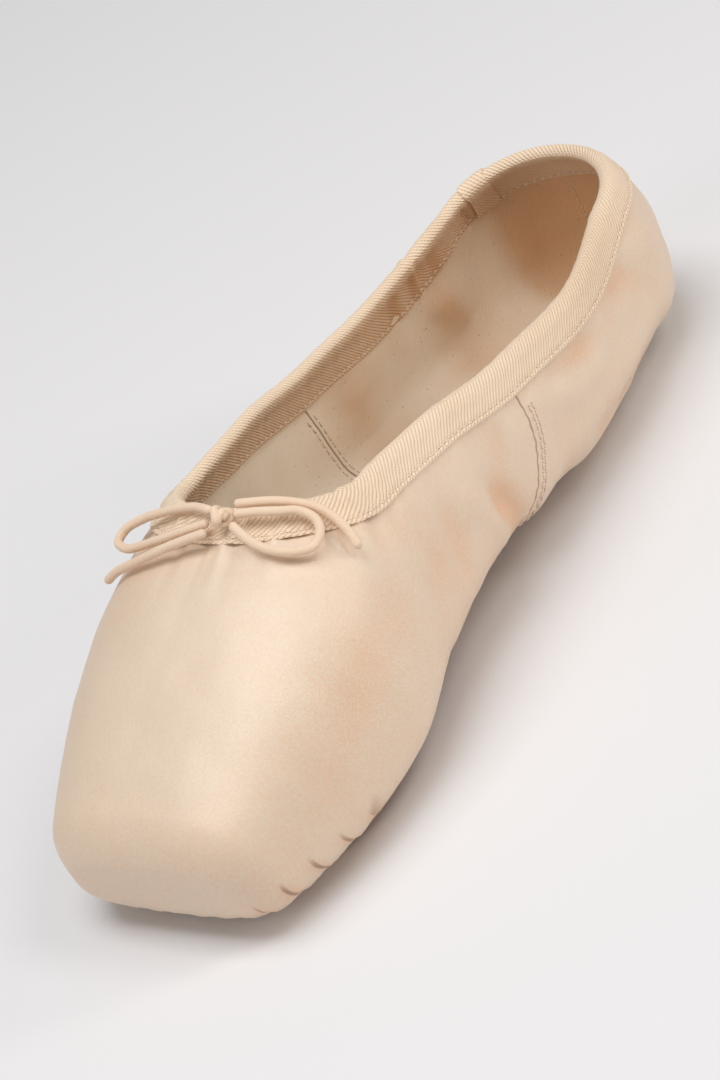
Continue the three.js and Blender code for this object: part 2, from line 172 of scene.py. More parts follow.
@dataclass
class Last:
    """The shoe's form, with the sizes of the part it dresses."""

    length: float = 232
    ball_width: float = 79
    instep_height: float = 66
    heel_height: float = 50
    arch_rise: float = 6.5
    heel_reach: float = 29
    rim: float = 8
    lean: float = 0.14
    throat_from_toe: float = 71
    throat_depth: float = 21
    sole_thickness: float = 2.5
    sole_length: float = 170
    sole_set_back: float = 17
    sole_width: float = 62
    sole_front_reach: float = 32
    sole_rear_reach: float = 20
    turn_under: float = 7
    gap: float = 0.3
    quarter_wall: float = 1.6
    box_wall: float = 2.8
    heel_power: float = 2.1
    throat_power: float = 2.4
    cap_power: float = 2.2

    def __post_init__(self) -> None:
        """Works out the curves and places that follow from the sizes."""
        self.heel_end, self.toe_end = -self.length / 2, self.length / 2
        self.sole_height = self.sole_thickness + self.gap
        at = [self.heel_end + s.at * self.length for s in LAST_SECTIONS]
        self.half_width = level_curve(at, [s.width * self.ball_width / 2 for s in LAST_SECTIONS])
        self.under = level_curve(at, [self.sole_height + s.rise * self.arch_rise for s in LAST_SECTIONS])
        crown = [s.heel * self.heel_height + s.instep * self.instep_height for s in LAST_SECTIONS]
        self.crown = level_curve(at, crown)
        self.girth = level_curve(at, [s.girth for s in LAST_SECTIONS])
        self.crown_power = level_curve(at, [s.crown_power for s in LAST_SECTIONS])
        self.under_power = level_curve(at, [s.under_power for s in LAST_SECTIONS])
        collar_at = [self.heel_end + s.at * self.length for s in COLLAR_LINE]
        self.collar_share = level_curve(collar_at, [s.share for s in COLLAR_LINE])
        self.heel_centre = self.heel_end + self.heel_reach
        self.rim_start = self.toe_end - self.rim
        self.sole_back = self.toe_end - self.sole_set_back - self.sole_length
        self.sole_front = self.toe_end - self.sole_set_back
        self.toe_fan = self.toe_end - self.throat_from_toe - self.throat_depth
        self.throat_front = self.toe_end - self.throat_from_toe
        self.heel_fan = self.sole_back + self.sole_rear_reach
        self.spine_height = self.instep_height / 3
        sole_at = [self.sole_back + s.at * self.sole_length for s in SOLE_OUTLINE]
        self.sole_share = level_curve(sole_at, [s.share for s in SOLE_OUTLINE])
        self.throat_corner = 1.0
        side = Columns(np.array([self.toe_fan]), np.array([math.pi / 2]), np.array([False]))
        self.throat_corner = float(self.point(side, self.collar_rise(side))[0, 1])

    def middle(self, x: Array) -> Array:
        """Height of the widest line."""
        return self.under(x) + self.girth(x) * (self.crown(x) - self.under(x))

    def plan_share(self, x: Array, y: Array, inset: Array | float) -> Array:
        """How far out a point of the plan lies, as a share of the half width.

        Args:
            x, y: the points.
            inset: how much narrower the plan is.

        Returns:
            1 on the outline, less within it.
        """
        side = np.abs(y) / (self.half_width(x) - inset)
        back = np.clip(self.heel_centre - x, 0, None) / self.heel_reach
        return (back**self.heel_power + side**self.heel_power) ** (1 / self.heel_power)

    def inside(self, p: Array) -> Array:
        """True where points lie within the last.

        Args:
            p: points, (..., 3).

        Returns:
            An array of true and false.
        """
        x, y, z = p[..., 0], p[..., 1], p[..., 2]
        ahead = x + self.lean * (self.crown(self.toe_end) - z)
        turn = np.clip(ahead - self.rim_start, 0, self.rim)
        inset = self.rim - np.sqrt(self.rim**2 - turn**2)
        middle = self.middle(x)
        above = z > middle
        reach = np.where(above, self.crown(x) - middle, middle - self.under(x)) - inset
        power = np.where(above, self.crown_power(x), self.under_power(x))
        level = np.abs(z - middle) / np.maximum(reach, 1e-6)
        return (ahead < self.toe_end) & (self.plan_share(x, y, inset) ** power + level**power < 1)

    def under_at(self, x: Array, y: Array) -> Array:
        """Height of the last's underside over a point of the plan.

        Args:
            x, y: the points.

        Returns:
            Heights in millimetres.
        """
        middle, power = self.middle(x), self.under_power(x)
        share = np.minimum(self.plan_share(x, y, 0.0), 1)
        return middle - (middle - self.under(x)) * (1 - share**power) ** (1 / power)

    def point(self, columns: Columns, rise: Array) -> Array:
        """Where rays from the spine meet the last's surface.

        Args:
            columns: fans of rays; their arrays broadcast with rise.
            rise: the rays' angles over the horizon.

        Returns:
            Points, with a last axis of three.
        """
        spine, heading, rise = np.broadcast_arrays(columns.spine, columns.heading, rise)
        level = np.cos(rise)
        way = np.stack([level * np.cos(heading), level * np.sin(heading), np.sin(rise)], -1)
        root = np.stack([spine, np.zeros_like(spine), np.full_like(spine, self.spine_height)], -1)
        near, far = np.zeros(spine.shape), np.full(spine.shape, self.length)
        for _ in range(27):
            mid = (near + far) / 2
            hit = self.inside(root + way * mid[..., None])
            near, far = np.where(hit, mid, near), np.where(hit, far, mid)
        return root + way * near[..., None]

    def rise_where(self, columns: Columns, low: float, high: float, test: Callable) -> Array:
        """Ray angles at which a test on the surface point turns true.

        Args:
            columns: fans of rays.
            low: an angle where the test fails.
            high: an angle where it holds.
            test: a function of points.

        Returns:
            One angle for each column.
        """
        no, yes = np.full(columns.spine.shape, low), np.full(columns.spine.shape, high)
        for _ in range(25):
            mid = (no + yes) / 2
            true = test(self.point(columns, mid))
            no, yes = np.where(true, no, mid), np.where(true, mid, yes)
        return yes

    def collar_rise(self, columns: Columns) -> Array:
        """Ray angles of the collar's edge: the throat's curve, then the collar line.

        Args:
            columns: fans of rays.

        Returns:
            One angle for each column.
        """
        side = self.rise_where(
            columns, 1.5, 0.0, lambda p: p[..., 2] < self.collar_share(p[..., 0]) * self.crown(p[..., 0])
        )
        ahead = np.abs(np.cos(columns.heading)) / self.throat_depth
        across = np.abs(np.sin(columns.heading)) / self.throat_corner
        reach = (ahead**self.throat_power + across**self.throat_power) ** (-1 / self.throat_power)
        front = self.rise_where(
            columns, 1.5, 0.0, lambda p: np.hypot(p[..., 0] - self.toe_fan, p[..., 1]) > reach
        )
        return np.where(columns.toe, front, side)

    def cap(self, distance: Array, reach: float) -> Array:
        """Share of the width in a rounded end."""
        share = np.clip(distance / reach, 0, 1)
        return (1 - share**self.cap_power) ** (1 / self.cap_power)

    def sole_half(self, x: Array, inset: float) -> Array:
        """Half width of the outsole, drawn in by an inset.

        Args:
            x: places along the shoe.
            inset: millimetres drawn in all round.

        Returns:
            Half widths, 0 at the ends.
        """
        body = self.sole_share(x) * self.sole_width / 2 - inset
        front = self.cap(x - (self.sole_front - self.sole_front_reach), self.sole_front_reach - inset)
        rear = self.cap(self.sole_back + self.sole_rear_reach - x, self.sole_rear_reach - inset)
        return body * front * rear

    def opening_rise(self, columns: Columns) -> Array:
        """Ray angles of the opening underneath, which the sole closes."""
        return self.rise_where(
            columns, -1.5, -0.1, lambda p: np.abs(p[..., 1]) >= self.sole_half(p[..., 0], self.turn_under)
        )

    def wall(self, x: Array) -> Array:
        """Thickness of the upper's wall."""
        t = np.clip((x - self.throat_front) / (self.throat_from_toe / 3), 0, 1)
        return self.quarter_wall + (self.box_wall - self.quarter_wall) * t * t * (3 - 2 * t)

    def columns(self, toe: int, side: int, heel: int) -> Columns:
        """Columns all round the shoe, from the toe by its left side and the heel back to the toe.

        Args:
            toe: columns in a quarter turn of the toe fan.
            side: columns along one side.
            heel: columns in a quarter turn of the heel fan.

        Returns:
            The columns, with the first repeated at the end.
        """
        quarter = math.pi / 2
        first = quarter * (np.arange(toe) / toe) ** 1.2
        last = quarter * (2 - (1 - np.arange(heel + 1) / heel) ** 1.2)
        spine = np.concatenate(
            [
                np.full(toe, self.toe_fan),
                self.toe_fan + (self.heel_fan - self.toe_fan) * np.arange(side) / side,
                np.full(heel + 1, self.heel_fan),
            ]
        )
        heading = np.concatenate([first, np.full(side, quarter), last])
        in_toe = np.arange(len(spine)) < toe
        return Columns(
            np.concatenate([spine, spine[-2::-1]]),
            np.concatenate([heading, -heading[-2::-1]]),
            np.concatenate([in_toe, in_toe[-2::-1]]),
        )

    def onto(self, points: Array) -> tuple[Array, Array]:
        """Moves points along their rays onto the last's surface.

        Args:
            points: points near the surface, (..., 3).

        Returns:
            Points on the surface, and the outward normals there.
        """
        spine = np.clip(points[..., 0], self.heel_fan, self.toe_fan)
        ahead = points[..., 0] - spine
        heading = np.arctan2(points[..., 1], ahead)
        rise = np.arctan2(points[..., 2] - self.spine_height, np.hypot(ahead, points[..., 1]))
        columns = Columns(spine, heading, points[..., 0] > self.toe_fan)
        return self.point(columns, rise), self.normals(columns, rise)

    def normals(self, columns: Columns, rise: Array) -> Array:
        """Outward unit normals of the last where rays meet it.

        Args:
            columns: fans of rays.
            rise: the rays' angles.

        Returns:
            Unit vectors, with a last axis of three.
        """
        nudge = 2e-3
        turned = [Columns(columns.spine, columns.heading + s * nudge, columns.toe) for s in (1, -1)]
        across = self.point(turned[0], rise) - self.point(turned[1], rise)
        up = self.point(columns, rise + nudge) - self.point(columns, rise - nudge)
        return unit(np.cross(across, up))


def unit(v: Array) -> Array:
    """Vectors at length one."""
    return v / np.maximum(np.linalg.norm(v, axis=-1, keepdims=True), 1e-12)


def bell(value: Array, width: float) -> Array:
    """1 where a value is nought, falling off over a width."""
    return np.exp(-((value / width) ** 2))


def walked_length(line: Array) -> Array:
    """Length walked to each point of a line."""
    return np.concatenate([[0], np.cumsum(np.linalg.norm(np.diff(line, axis=0), axis=1))])


def at_length(line: Array, walked: Array, at: Array) -> Array:
    """Points of a line, or ways kept at its points, at walked lengths."""
    return np.stack([np.interp(at, walked, line[:, i]) for i in range(3)], -1)


def close_at_ends(count: int, power: float, first: float = -1) -> Array:
    """Shares across a strip from its first edge, -1 or 1, closer together at both edges."""
    turn = np.linspace(first, -first, count)
    return np.sign(turn) * (1 - (1 - np.abs(turn)) ** power)


def spread(points: Array, rows: int, turn_weight: float) -> Array:
    """Shares along each column that put rows closer together where the surface turns.

    Args:
        points: fine samples, (samples, columns, 3), evenly spaced in the walked share.
        rows: how many rows are wanted.
        turn_weight: millimetres of walk that one radian of turn counts as.

    Returns:
        Shares from 0 to 1, (rows, columns).
    """
    steps = np.diff(points, axis=0)
    size = np.linalg.norm(steps, axis=-1)
    way = unit(steps)
    turn = np.zeros_like(size)
    turn[1:] = np.arccos(np.clip((way[1:] * way[:-1]).sum(-1), -1, 1))
    measure = np.concatenate([np.zeros((1, size.shape[1])), np.cumsum(size + turn_weight * turn, 0)])
    kernel = np.array([1, 4, 6, 4, 1]) / 16
    smooth = measure / measure[-1]
    padded = np.concatenate([smooth[:, -3:-1], smooth, smooth[:, 1:3]], 1)
    smooth = sum(k * padded[:, i : i + smooth.shape[1]] for i, k in enumerate(kernel))
    even = np.linspace(0, 1, len(points))
    wanted = np.linspace(0, 1, rows)
    return np.stack([np.interp(wanted, smooth[:, c], even) for c in range(points.shape[1])], 1)


LAST = Last()


# Mesh helpers


def activate(*pieces: bpy.types.Object) -> None:
    """Selects these pieces alone, and makes the last one active."""
    bpy.ops.object.select_all(action="DESELECT")
    for piece in pieces:
        piece.select_set(True)
        bpy.context.view_layer.objects.active = piece


def laid_grid(
    name: str, points: Array, uv: Array, ring: bool = False, masks: dict[str, Array] | None = None
) -> bpy.types.Object:
    """A grid laid point by point on a form.

    Args:
        name: the piece's name.
        points: (rows, columns, 3) in millimetres; columns turn left seen from outside, rows rise.
        uv: (rows, columns, 2) in millimetres of cloth.
        ring: joins the last column to the first.
        masks: values to keep on the corners, by name.

    Returns:
        The new object, at the origin.
    """
    rows, cols = points.shape[:2]
    activate()
    bpy.ops.mesh.primitive_grid_add(x_subdivisions=cols - 1, y_subdivisions=rows - 1, size=1)
    piece = bpy.context.object
    piece.name = name
    mesh = piece.data
    mesh.name = name
    if len(mesh.vertices) != rows * cols:
        raise ValueError(f"{name}: the grid has {len(mesh.vertices)} corners, not {rows * cols}")
    mesh.vertices.foreach_set("co", (points * MM).astype(np.float32).ravel())
    corner = np.zeros(len(mesh.loops), np.int32)
    mesh.loops.foreach_get("vertex_index", corner)
    mesh.uv_layers[0].data.foreach_set("uv", uv.reshape(-1, 2)[corner].astype(np.float32).ravel())
    mesh.update()
    for label, values in (masks or {}).items():
        mark(piece, label, values)
    if ring:
        bpy.ops.object.mode_set(mode="EDIT")
        bpy.ops.mesh.select_all(action="SELECT")
        bpy.ops.mesh.remove_doubles(threshold=1e-7)
        bpy.ops.object.mode_set(mode="OBJECT")
    return piece


def mark(piece: bpy.types.Object, name: str, values: Array) -> None:
    """Stores a mask on a piece's corners, before any doubles are merged."""
    layer = piece.data.attributes.new(name, "FLOAT", "POINT")
    layer.data.foreach_set("value", values.astype(np.float32).ravel())


def thicken(piece: bpy.types.Object, wall: float, even: bool = True) -> None:
    """Gives a sheet its wall, inwards.

    Args:
        piece: the sheet.
        wall: the wall in millimetres.
        even: keeps the wall even round bends.
    """
    activate(piece)
    modifier = piece.modifiers.new("Solidify", "SOLIDIFY")
    modifier.thickness = wall * MM
    modifier.offset = -1
    modifier.use_even_offset = even
    bpy.ops.object.modifier_apply(modifier=modifier.name)


def smooth(piece: bpy.types.Object, angle: float = 60) -> None:
    """Shades a piece smooth but for edges that turn by more than an angle in degrees."""
    activate(piece)
    bpy.ops.object.shade_smooth_by_angle(angle=math.radians(angle))


def close_grid() -> None:
    """Closes the active piece: merges its doubles, fills its holes and turns its faces out."""
    bpy.ops.object.mode_set(mode="EDIT")
    bpy.ops.mesh.select_all(action="SELECT")
    bpy.ops.mesh.remove_doubles(threshold=1e-6)
    bpy.ops.mesh.select_all(action="DESELECT")
    bpy.ops.mesh.select_non_manifold()
    bpy.ops.mesh.edge_face_add()
    bpy.ops.mesh.select_all(action="SELECT")
    bpy.ops.mesh.normals_make_consistent(inside=False)
    bpy.ops.object.mode_set(mode="OBJECT")


def grid_uv(points: Array) -> Array:
    """Cloth coordinates of a grid: millimetres run along its rows and up its columns.

    Args:
        points: the grid, (rows, columns, 3).

    Returns:
        Coordinates, (rows, columns, 2).
    """
    along = np.linalg.norm(np.diff(points, axis=1), axis=-1)
    row = along[len(along) // 2]
    u = np.concatenate([[0], np.cumsum(row)])
    up = np.linalg.norm(np.diff(points, axis=0), axis=-1)
    v = np.concatenate([np.zeros((1, points.shape[1])), np.cumsum(up, 0)])
    return np.stack([np.broadcast_to(u, v.shape), v], -1)


def dress(piece: bpy.types.Object, material: bpy.types.Material) -> bpy.types.Object:
    """Gives a piece its material and its ride on the shoe.

    Args:
        piece: the object.
        material: its finish.

    Returns:
        The piece.
    """
    piece.data.materials.clear()
    piece.data.materials.append(material)
    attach(piece, "root")
    return piece


# Camera, floor and light


@dataclass
class PhotoCamera:
    """The camera that sees the shoe from the photograph's side, rolled because the shoe stands level.

    The way it looks is given in the photograph's own frame, 720 by 1080 pixels.
    """

    eye: Point = (498.45, 502.44, 468.0)
    right: Point = (-0.42194, 0.83865, -0.34443)
    down: Point = (0.62997, -0.002, -0.77661)
    ahead: Point = (-0.652, -0.54466, -0.52748)
    photo_focal: float = 2055
    photo_size: tuple[int, int] = (720, 1080)
    shoe_centre: tuple[float, float] = (200, 633)
    enlarge: float = 1.76
    sensor: float = 36

    def build(self) -> bpy.types.Object:
        """Makes the camera.

        Returns:
            The camera's object.
        """
        data = bpy.data.cameras.new("camera")
        camera = bpy.data.objects.new("camera", data)
        bpy.context.collection.objects.link(camera)
        right, down, ahead = (Vector(v).normalized() for v in (self.right, self.down, self.ahead))
        if self.enlarge > 1:
            x = self.shoe_centre[0] - self.photo_size[0] / 2
            y = self.shoe_centre[1] - self.photo_size[1] / 2
            ahead = (right * x + down * y + ahead * self.photo_focal).normalized()
            right = down.cross(ahead).normalized()
            down = ahead.cross(right)
        turn = Matrix((right, -down, -ahead)).transposed()
        camera.matrix_world = Matrix.Translation(Vector(self.eye) * MM) @ turn.to_4x4()
        data.sensor_fit = "VERTICAL"
        data.sensor_height = self.sensor
        data.sensor_width = self.sensor
        data.lens = self.photo_focal * self.enlarge / self.photo_size[1] * self.sensor
        data.clip_start = 0.05
        data.clip_end = 20
        bpy.context.scene.camera = camera
        return camera


@dataclass
class SoftBox:
    """A soft studio light: where it stands, its length and width, its power and colour."""

    name: str
    place: Point
    size: tuple[float, float]
    power: float
    colour: Point = (1, 1, 1)
    aim: Point = (0.02, 0, 0.03)

    def build(self) -> bpy.types.Object:
        """Makes the light, turned to the middle of the shoe.

        Returns:
            The light's object.
        """
        data = bpy.data.lights.new(self.name, "AREA")
        data.shape = "ELLIPSE"
        data.size, data.size_y = self.size
        data.energy = self.power
        data.color = self.colour
        lamp = bpy.data.objects.new(self.name, data)
        lamp.location = self.place
        look = Vector(self.aim) - Vector(self.place)
        lamp.rotation_euler = look.to_track_quat("-Z", "Y").to_euler()
        bpy.context.collection.objects.link(lamp)
        return lamp


@dataclass
class Studio:
    """Plain pale floor and plain soft light."""

    floor_colour: Point = (0.81, 0.805, 0.815)
    sky_colour: Point = (1, 0.995, 0.99)
    sky: float = 0.29

    def build(self) -> None:
        """Makes the floor, the lights and the surrounding light."""
        activate()
        bpy.ops.mesh.primitive_plane_add(size=12)
        floor = bpy.context.object
        floor.name = "floor"
        material = bpy.data.materials.new("pale_floor")
        material.use_nodes = True
        shader = material.node_tree.nodes["Principled BSDF"]
        shader.inputs["Base Color"].default_value = (*self.floor_colour, 1)
        shader.inputs["Roughness"].default_value = 0.9
        shader.inputs["Specular IOR Level"].default_value = 0.1
        floor.data.materials.append(material)
        floor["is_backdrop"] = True
        for box in (
            SoftBox("key_light", (0.26, 0.0, 1.4), (1.3, 0.7), 11.3, (0.98, 0.985, 1)),
            SoftBox("front_light", (1.3, -0.3, 0.8), (0.8, 0.8), 2.6, (1, 0.99, 0.97)),
            SoftBox("fill_light", (-0.25, 0.8, 1.1), (0.5, 0.5), 3.4, (1, 0.97, 0.93)),
            SoftBox("side_light", (-0.7, 1.2, 0.5), (0.35, 0.6), 4.4, (1, 0.9, 0.8)),
        ):
            box.build()
        world = bpy.data.worlds.new("studio")
        world.use_nodes = True
        background = world.node_tree.nodes["Background"]
        background.inputs["Color"].default_value = (*self.sky_colour, 1)
        background.inputs["Strength"].default_value = self.sky
        bpy.context.scene.world = world


# Finishes


class Nodes:
    """Short ways to add and join shader nodes."""

    def __init__(self, tree: bpy.types.NodeTree) -> None:
        """Takes the node tree to work in."""
        self.tree = tree

    def add(self, kind: str, **settings: object) -> bpy.types.Node:
        """Adds a node.

        Args:
            kind: the node's type.
            settings: its properties; one named in_ and a number is that socket's value.

        Returns:
            The node.
        """
        node = self.tree.nodes.new(kind)
        for key, value in settings.items():
            if key.startswith("in_"):
                self.feed(node.inputs[int(key[3:])], value)
            else:
                setattr(node, key, value)
        return node

    def feed(self, socket: bpy.types.NodeSocket, value: object) -> None:
        """Links a socket or sets its value."""
        if isinstance(value, bpy.types.NodeSocket):
            self.tree.links.new(value, socket)
        else:
            socket.default_value = value

    def math(self, operation: str, *values: object) -> bpy.types.NodeSocket:
        """A math node's result.

        Args:
            operation: what it does.
            values: its sockets' values, in order.

        Returns:
            The result's socket.
        """
        node = self.add("ShaderNodeMath", operation=operation)
        for socket, value in zip(node.inputs, values):
            self.feed(socket, value)
        return node.outputs[0]

    def mix(self, share: object, first: object, second: object) -> bpy.types.NodeSocket:
        """Colour between two colours.

        Args:
            share: 0 for the first colour, 1 for the second.
            first, second: the colours.

        Returns:
            The mixed colour's socket.
        """
        node = self.add("ShaderNodeMix", data_type="RGBA")
        self.feed(node.inputs["Factor"], share)
        self.feed(node.inputs[6], first)
        self.feed(node.inputs[7], second)
        return node.outputs[2]

    def ramp(self, value: object, low: float, high: float) -> bpy.types.NodeSocket:
        """Value spread from 0 at low to 1 at high, smoothly.

        Args:
            value: what is spread.
            low, high: its limits.

        Returns:
            The result's socket.
        """
        node = self.add("ShaderNodeMapRange", interpolation_type="SMOOTHSTEP")
        self.feed(node.inputs["Value"], value)
        self.feed(node.inputs["From Min"], low)
        self.feed(node.inputs["From Max"], high)
        return node.outputs["Result"]

    def noise(self, where: object, scale: float, detail: float = 2) -> bpy.types.NodeSocket:
        """Noise value at a place.

        Args:
            where: coordinates.
            scale: bumps to a unit of length.
            detail: finer layers.

        Returns:
            The value's socket.
        """
        node = self.add("ShaderNodeTexNoise")
        self.feed(node.inputs["Vector"], where)
        self.feed(node.inputs["Scale"], scale)
        self.feed(node.inputs["Detail"], detail)
        return node.outputs["Fac"]

    def attribute(self, name: str) -> bpy.types.NodeSocket:
        """A mask stored on the mesh."""
        return self.add("ShaderNodeAttribute", attribute_name=name).outputs["Fac"]

    def bump(self, shader: bpy.types.Node, height: object, strength: float, depth: float) -> None:
        """Bends a shader's normal by a height.

        Args:
            shader: the shader node.
            height: the height.
            strength: how much of it shows.
            depth: metres that a height of 1 stands for.
        """
        node = self.add("ShaderNodeBump")
        node.inputs["Strength"].default_value = strength
        node.inputs["Distance"].default_value = depth
        self.feed(node.inputs["Height"], height)
        self.feed(shader.inputs["Normal"], node.outputs["Normal"])


def new_material(name: str) -> tuple[bpy.types.Material, Nodes, bpy.types.Node]:
    """Makes an empty material.

    Args:
        name: the finish's name.

    Returns:
        The material, a helper for its nodes and its shader node.
    """
    material = bpy.data.materials.new(name)
    material.use_nodes = True
    return material, Nodes(material.node_tree), material.node_tree.nodes["Principled BSDF"]


def node_group(name: str, inputs: dict[str, float], outputs: Sequence[str]) -> bpy.types.NodeTree:
    """Starts a group of shader nodes.

    Args:
        name: its name.
        inputs: the numbers it takes, with their usual values.
        outputs: the numbers it gives.

    Returns:
        The empty group.
    """
    group = bpy.data.node_groups.new(name, "ShaderNodeTree")
    for label, value in inputs.items():
        socket = group.interface.new_socket(label, in_out="INPUT", socket_type="NodeSocketFloat")
        socket.default_value = value
    for label in outputs:
        group.interface.new_socket(label, in_out="OUTPUT", socket_type="NodeSocketFloat")
    return group


def weave_group() -> bpy.types.NodeTree:
    """Twill threads on cloth coordinates in millimetres.

    Returns:
        A group with inputs Pitch, Slant, Uneven and Herringbone, which turns the slant over at
        the cloth's middle line, and outputs Thread, a height from 0 to 1, and Slub, a slow
        variation from 0 to 1.
    """
    name = "twill_weave"
    if name in bpy.data.node_groups:
        return bpy.data.node_groups[name]
    inputs = {"Pitch": 0.5, "Slant": 1.0, "Uneven": 0.1, "Herringbone": 0.0}
    group = node_group(name, inputs, ("Thread", "Slub"))
    nodes = Nodes(group)
    given = nodes.add("NodeGroupInput").outputs
    where = nodes.add("ShaderNodeTexCoord").outputs["UV"]
    split = nodes.add("ShaderNodeSeparateXYZ", in_0=where)
    slow = nodes.noise(where, 0.9, 2)
    folded = nodes.math("SUBTRACT", nodes.math("ABSOLUTE", split.outputs[1]), split.outputs[1])
    across = nodes.math("ADD", split.outputs[1], nodes.math("MULTIPLY", folded, given["Herringbone"]))
    slanted = nodes.math("ADD", split.outputs[0], nodes.math("MULTIPLY", across, given["Slant"]))
    wobble = nodes.math("MULTIPLY", nodes.math("SUBTRACT", slow, 0.5), given["Uneven"])
    turns = nodes.math("DIVIDE", nodes.math("ADD", slanted, wobble), given["Pitch"])
    ridge = nodes.math("ABSOLUTE", nodes.math("SINE", nodes.math("MULTIPLY", turns, math.pi)))
    cross = nodes.math("DIVIDE", split.outputs[1], nodes.math("MULTIPLY", given["Pitch"], 0.45))
    beads = nodes.math("ABSOLUTE", nodes.math("SINE", nodes.math("MULTIPLY", cross, math.pi)))
    height = nodes.math("ADD", nodes.math("MULTIPLY", ridge, 0.75), nodes.math("MULTIPLY", beads, 0.25))
    out = nodes.add("NodeGroupOutput")
    nodes.feed(out.inputs["Thread"], height)
    nodes.feed(out.inputs["Slub"], slow)
    return group


def line_group() -> bpy.types.NodeTree:
    """A thin line where a distance is nought.

    Returns:
        A group with inputs Distance and Width, in millimetres, and output Line, 1 on the line.
    """
    name = "thin_line"
    if name in bpy.data.node_groups:
        return bpy.data.node_groups[name]
    group = node_group(name, {"Distance": 50.0, "Width": 0.3}, ("Line",))
    nodes = Nodes(group)
    given = nodes.add("NodeGroupInput").outputs
    away = nodes.math("DIVIDE", nodes.math("ABSOLUTE", given["Distance"]), given["Width"])
    out = nodes.add("NodeGroupOutput")
    nodes.feed(out.inputs["Line"], nodes.math("SUBTRACT", 1, nodes.ramp(away, 0.35, 1.0)))
    return group


def thin_line(nodes: Nodes, distance: object, width: float) -> bpy.types.NodeSocket:
    """A line's mask from the shared group.

    Args:
        nodes: the material's nodes.
        distance: millimetres from the line.
        width: half the line's width.

    Returns:
        The mask's socket, 1 on the line.
    """
    node = nodes.add("ShaderNodeGroup", node_tree=line_group())
    node.inputs["Width"].default_value = width
    nodes.feed(node.inputs["Distance"], distance)
    return node.outputs["Line"]


@dataclass(frozen=True)
class ClothFinish:
    """A woven cloth: its colours, gloss and threads, the lines sewn into it, and the shade painted into
    its folds, creases and hollows.
    """

    name: str
    colour: Point
    shade: Point
    roughness: float
    pitch: float
    slant: float
    bump: float
    sheen: float = 0.2
    uneven: float = 0.15
    gloss: float = 0.5
    thread_tone: float = 0.5
    cloud_tone: float = 0.22
    herringbone: float = 0.0
    speckle: float = 0.0
    grain: float = 0.0
    metallic: float = 0.0
    coat: float = 0.0
    seamed: bool = False
    pleated: bool = False
    # A dark colour for specks and seam lines, and for the painted shade in the pleats' folds.
    dark_mark_and_shade: Point = (0.30, 0.13, 0.07)
    seam_line: float = 0.42
    # Half width of the painted shade line along each pleat's fold.
    pleat_shade_line: float = 0.62
    pleat_pitch: float = 7.0
    bump_depth: float = 0.0003
    coat_roughness: float = 0.42
    sheen_roughness: float = 0.4

    def build(self) -> bpy.types.Material:
        """Makes the material.

        Returns:
            The material.
        """
        material, nodes, shader = new_material(self.name)
        weave = nodes.add("ShaderNodeGroup", node_tree=weave_group())
        weave.inputs["Pitch"].default_value = self.pitch
        weave.inputs["Slant"].default_value = self.slant
        weave.inputs["Uneven"].default_value = self.uneven
        weave.inputs["Herringbone"].default_value = self.herringbone
        place = nodes.add("ShaderNodeTexCoord").outputs["Object"]
        cloud = nodes.ramp(nodes.noise(place, 28, 3), 0.35, 0.7)
        gap = nodes.math("SUBTRACT", 1, weave.outputs["Thread"])
        share = nodes.math("MULTIPLY", nodes.math("MULTIPLY", gap, gap), self.thread_tone)
        share = nodes.math("ADD", share, nodes.math("MULTIPLY", cloud, self.cloud_tone))
        fine = nodes.noise(place, 1500, 2)
        grain = nodes.math("MULTIPLY", nodes.math("SUBTRACT", fine, 0.5), self.grain)
        share = nodes.math("ADD", share, grain)
        # Painted shade: the crease mask darkens the colour towards the shade colour in creases, pleats,
        # dimples and the shaded inside.
        share = nodes.math("MINIMUM", nodes.math("ADD", share, nodes.attribute("crease")), 1)
        colour = nodes.mix(share, (*self.colour, 1), (*self.shade, 1))
        height = nodes.math("ADD", weave.outputs["Thread"], nodes.math("MULTIPLY", grain, 2))
        if self.speckle:
            specks = nodes.ramp(nodes.noise(place, 1300, 1), 0.7, 0.76)
            specks = nodes.math("MULTIPLY", specks, self.speckle)
            colour = nodes.mix(specks, colour, (*self.dark_mark_and_shade, 1))
        if self.seamed:
            line = thin_line(nodes, nodes.attribute("seam"), self.seam_line)
            colour = nodes.mix(nodes.math("MULTIPLY", line, 0.75), colour, (*self.dark_mark_and_shade, 1))
            height = nodes.math("SUBTRACT", height, nodes.math("MULTIPLY", line, 2))
        # Painted shade: a dark line along each pleat's fold.
        if self.pleated:
            gap = nodes.math("PINGPONG", nodes.attribute("pleat"), 0.5)
            line = thin_line(nodes, nodes.math("MULTIPLY", gap, self.pleat_pitch), self.pleat_shade_line)
            line = nodes.math("MULTIPLY", line, nodes.attribute("pleated"))
            colour = nodes.mix(nodes.math("MULTIPLY", line, 0.8), colour, (*self.dark_mark_and_shade, 1))
            height = nodes.math("SUBTRACT", height, nodes.math("MULTIPLY", line, 2))
        nodes.feed(shader.inputs["Base Color"], colour)
        rough = nodes.math("ADD", self.roughness, nodes.math("MULTIPLY", weave.outputs["Slub"], 0.08))
        nodes.feed(shader.inputs["Roughness"], rough)
        nodes.bump(shader, height, self.bump, self.bump_depth)
        shader.inputs["Sheen Weight"].default_value = self.sheen
        shader.inputs["Sheen Roughness"].default_value = self.sheen_roughness
        shader.inputs["Specular IOR Level"].default_value = self.gloss
        shader.inputs["Metallic"].default_value = self.metallic
        shader.inputs["Coat Weight"].default_value = self.coat
        shader.inputs["Coat Roughness"].default_value = self.coat_roughness
        return material


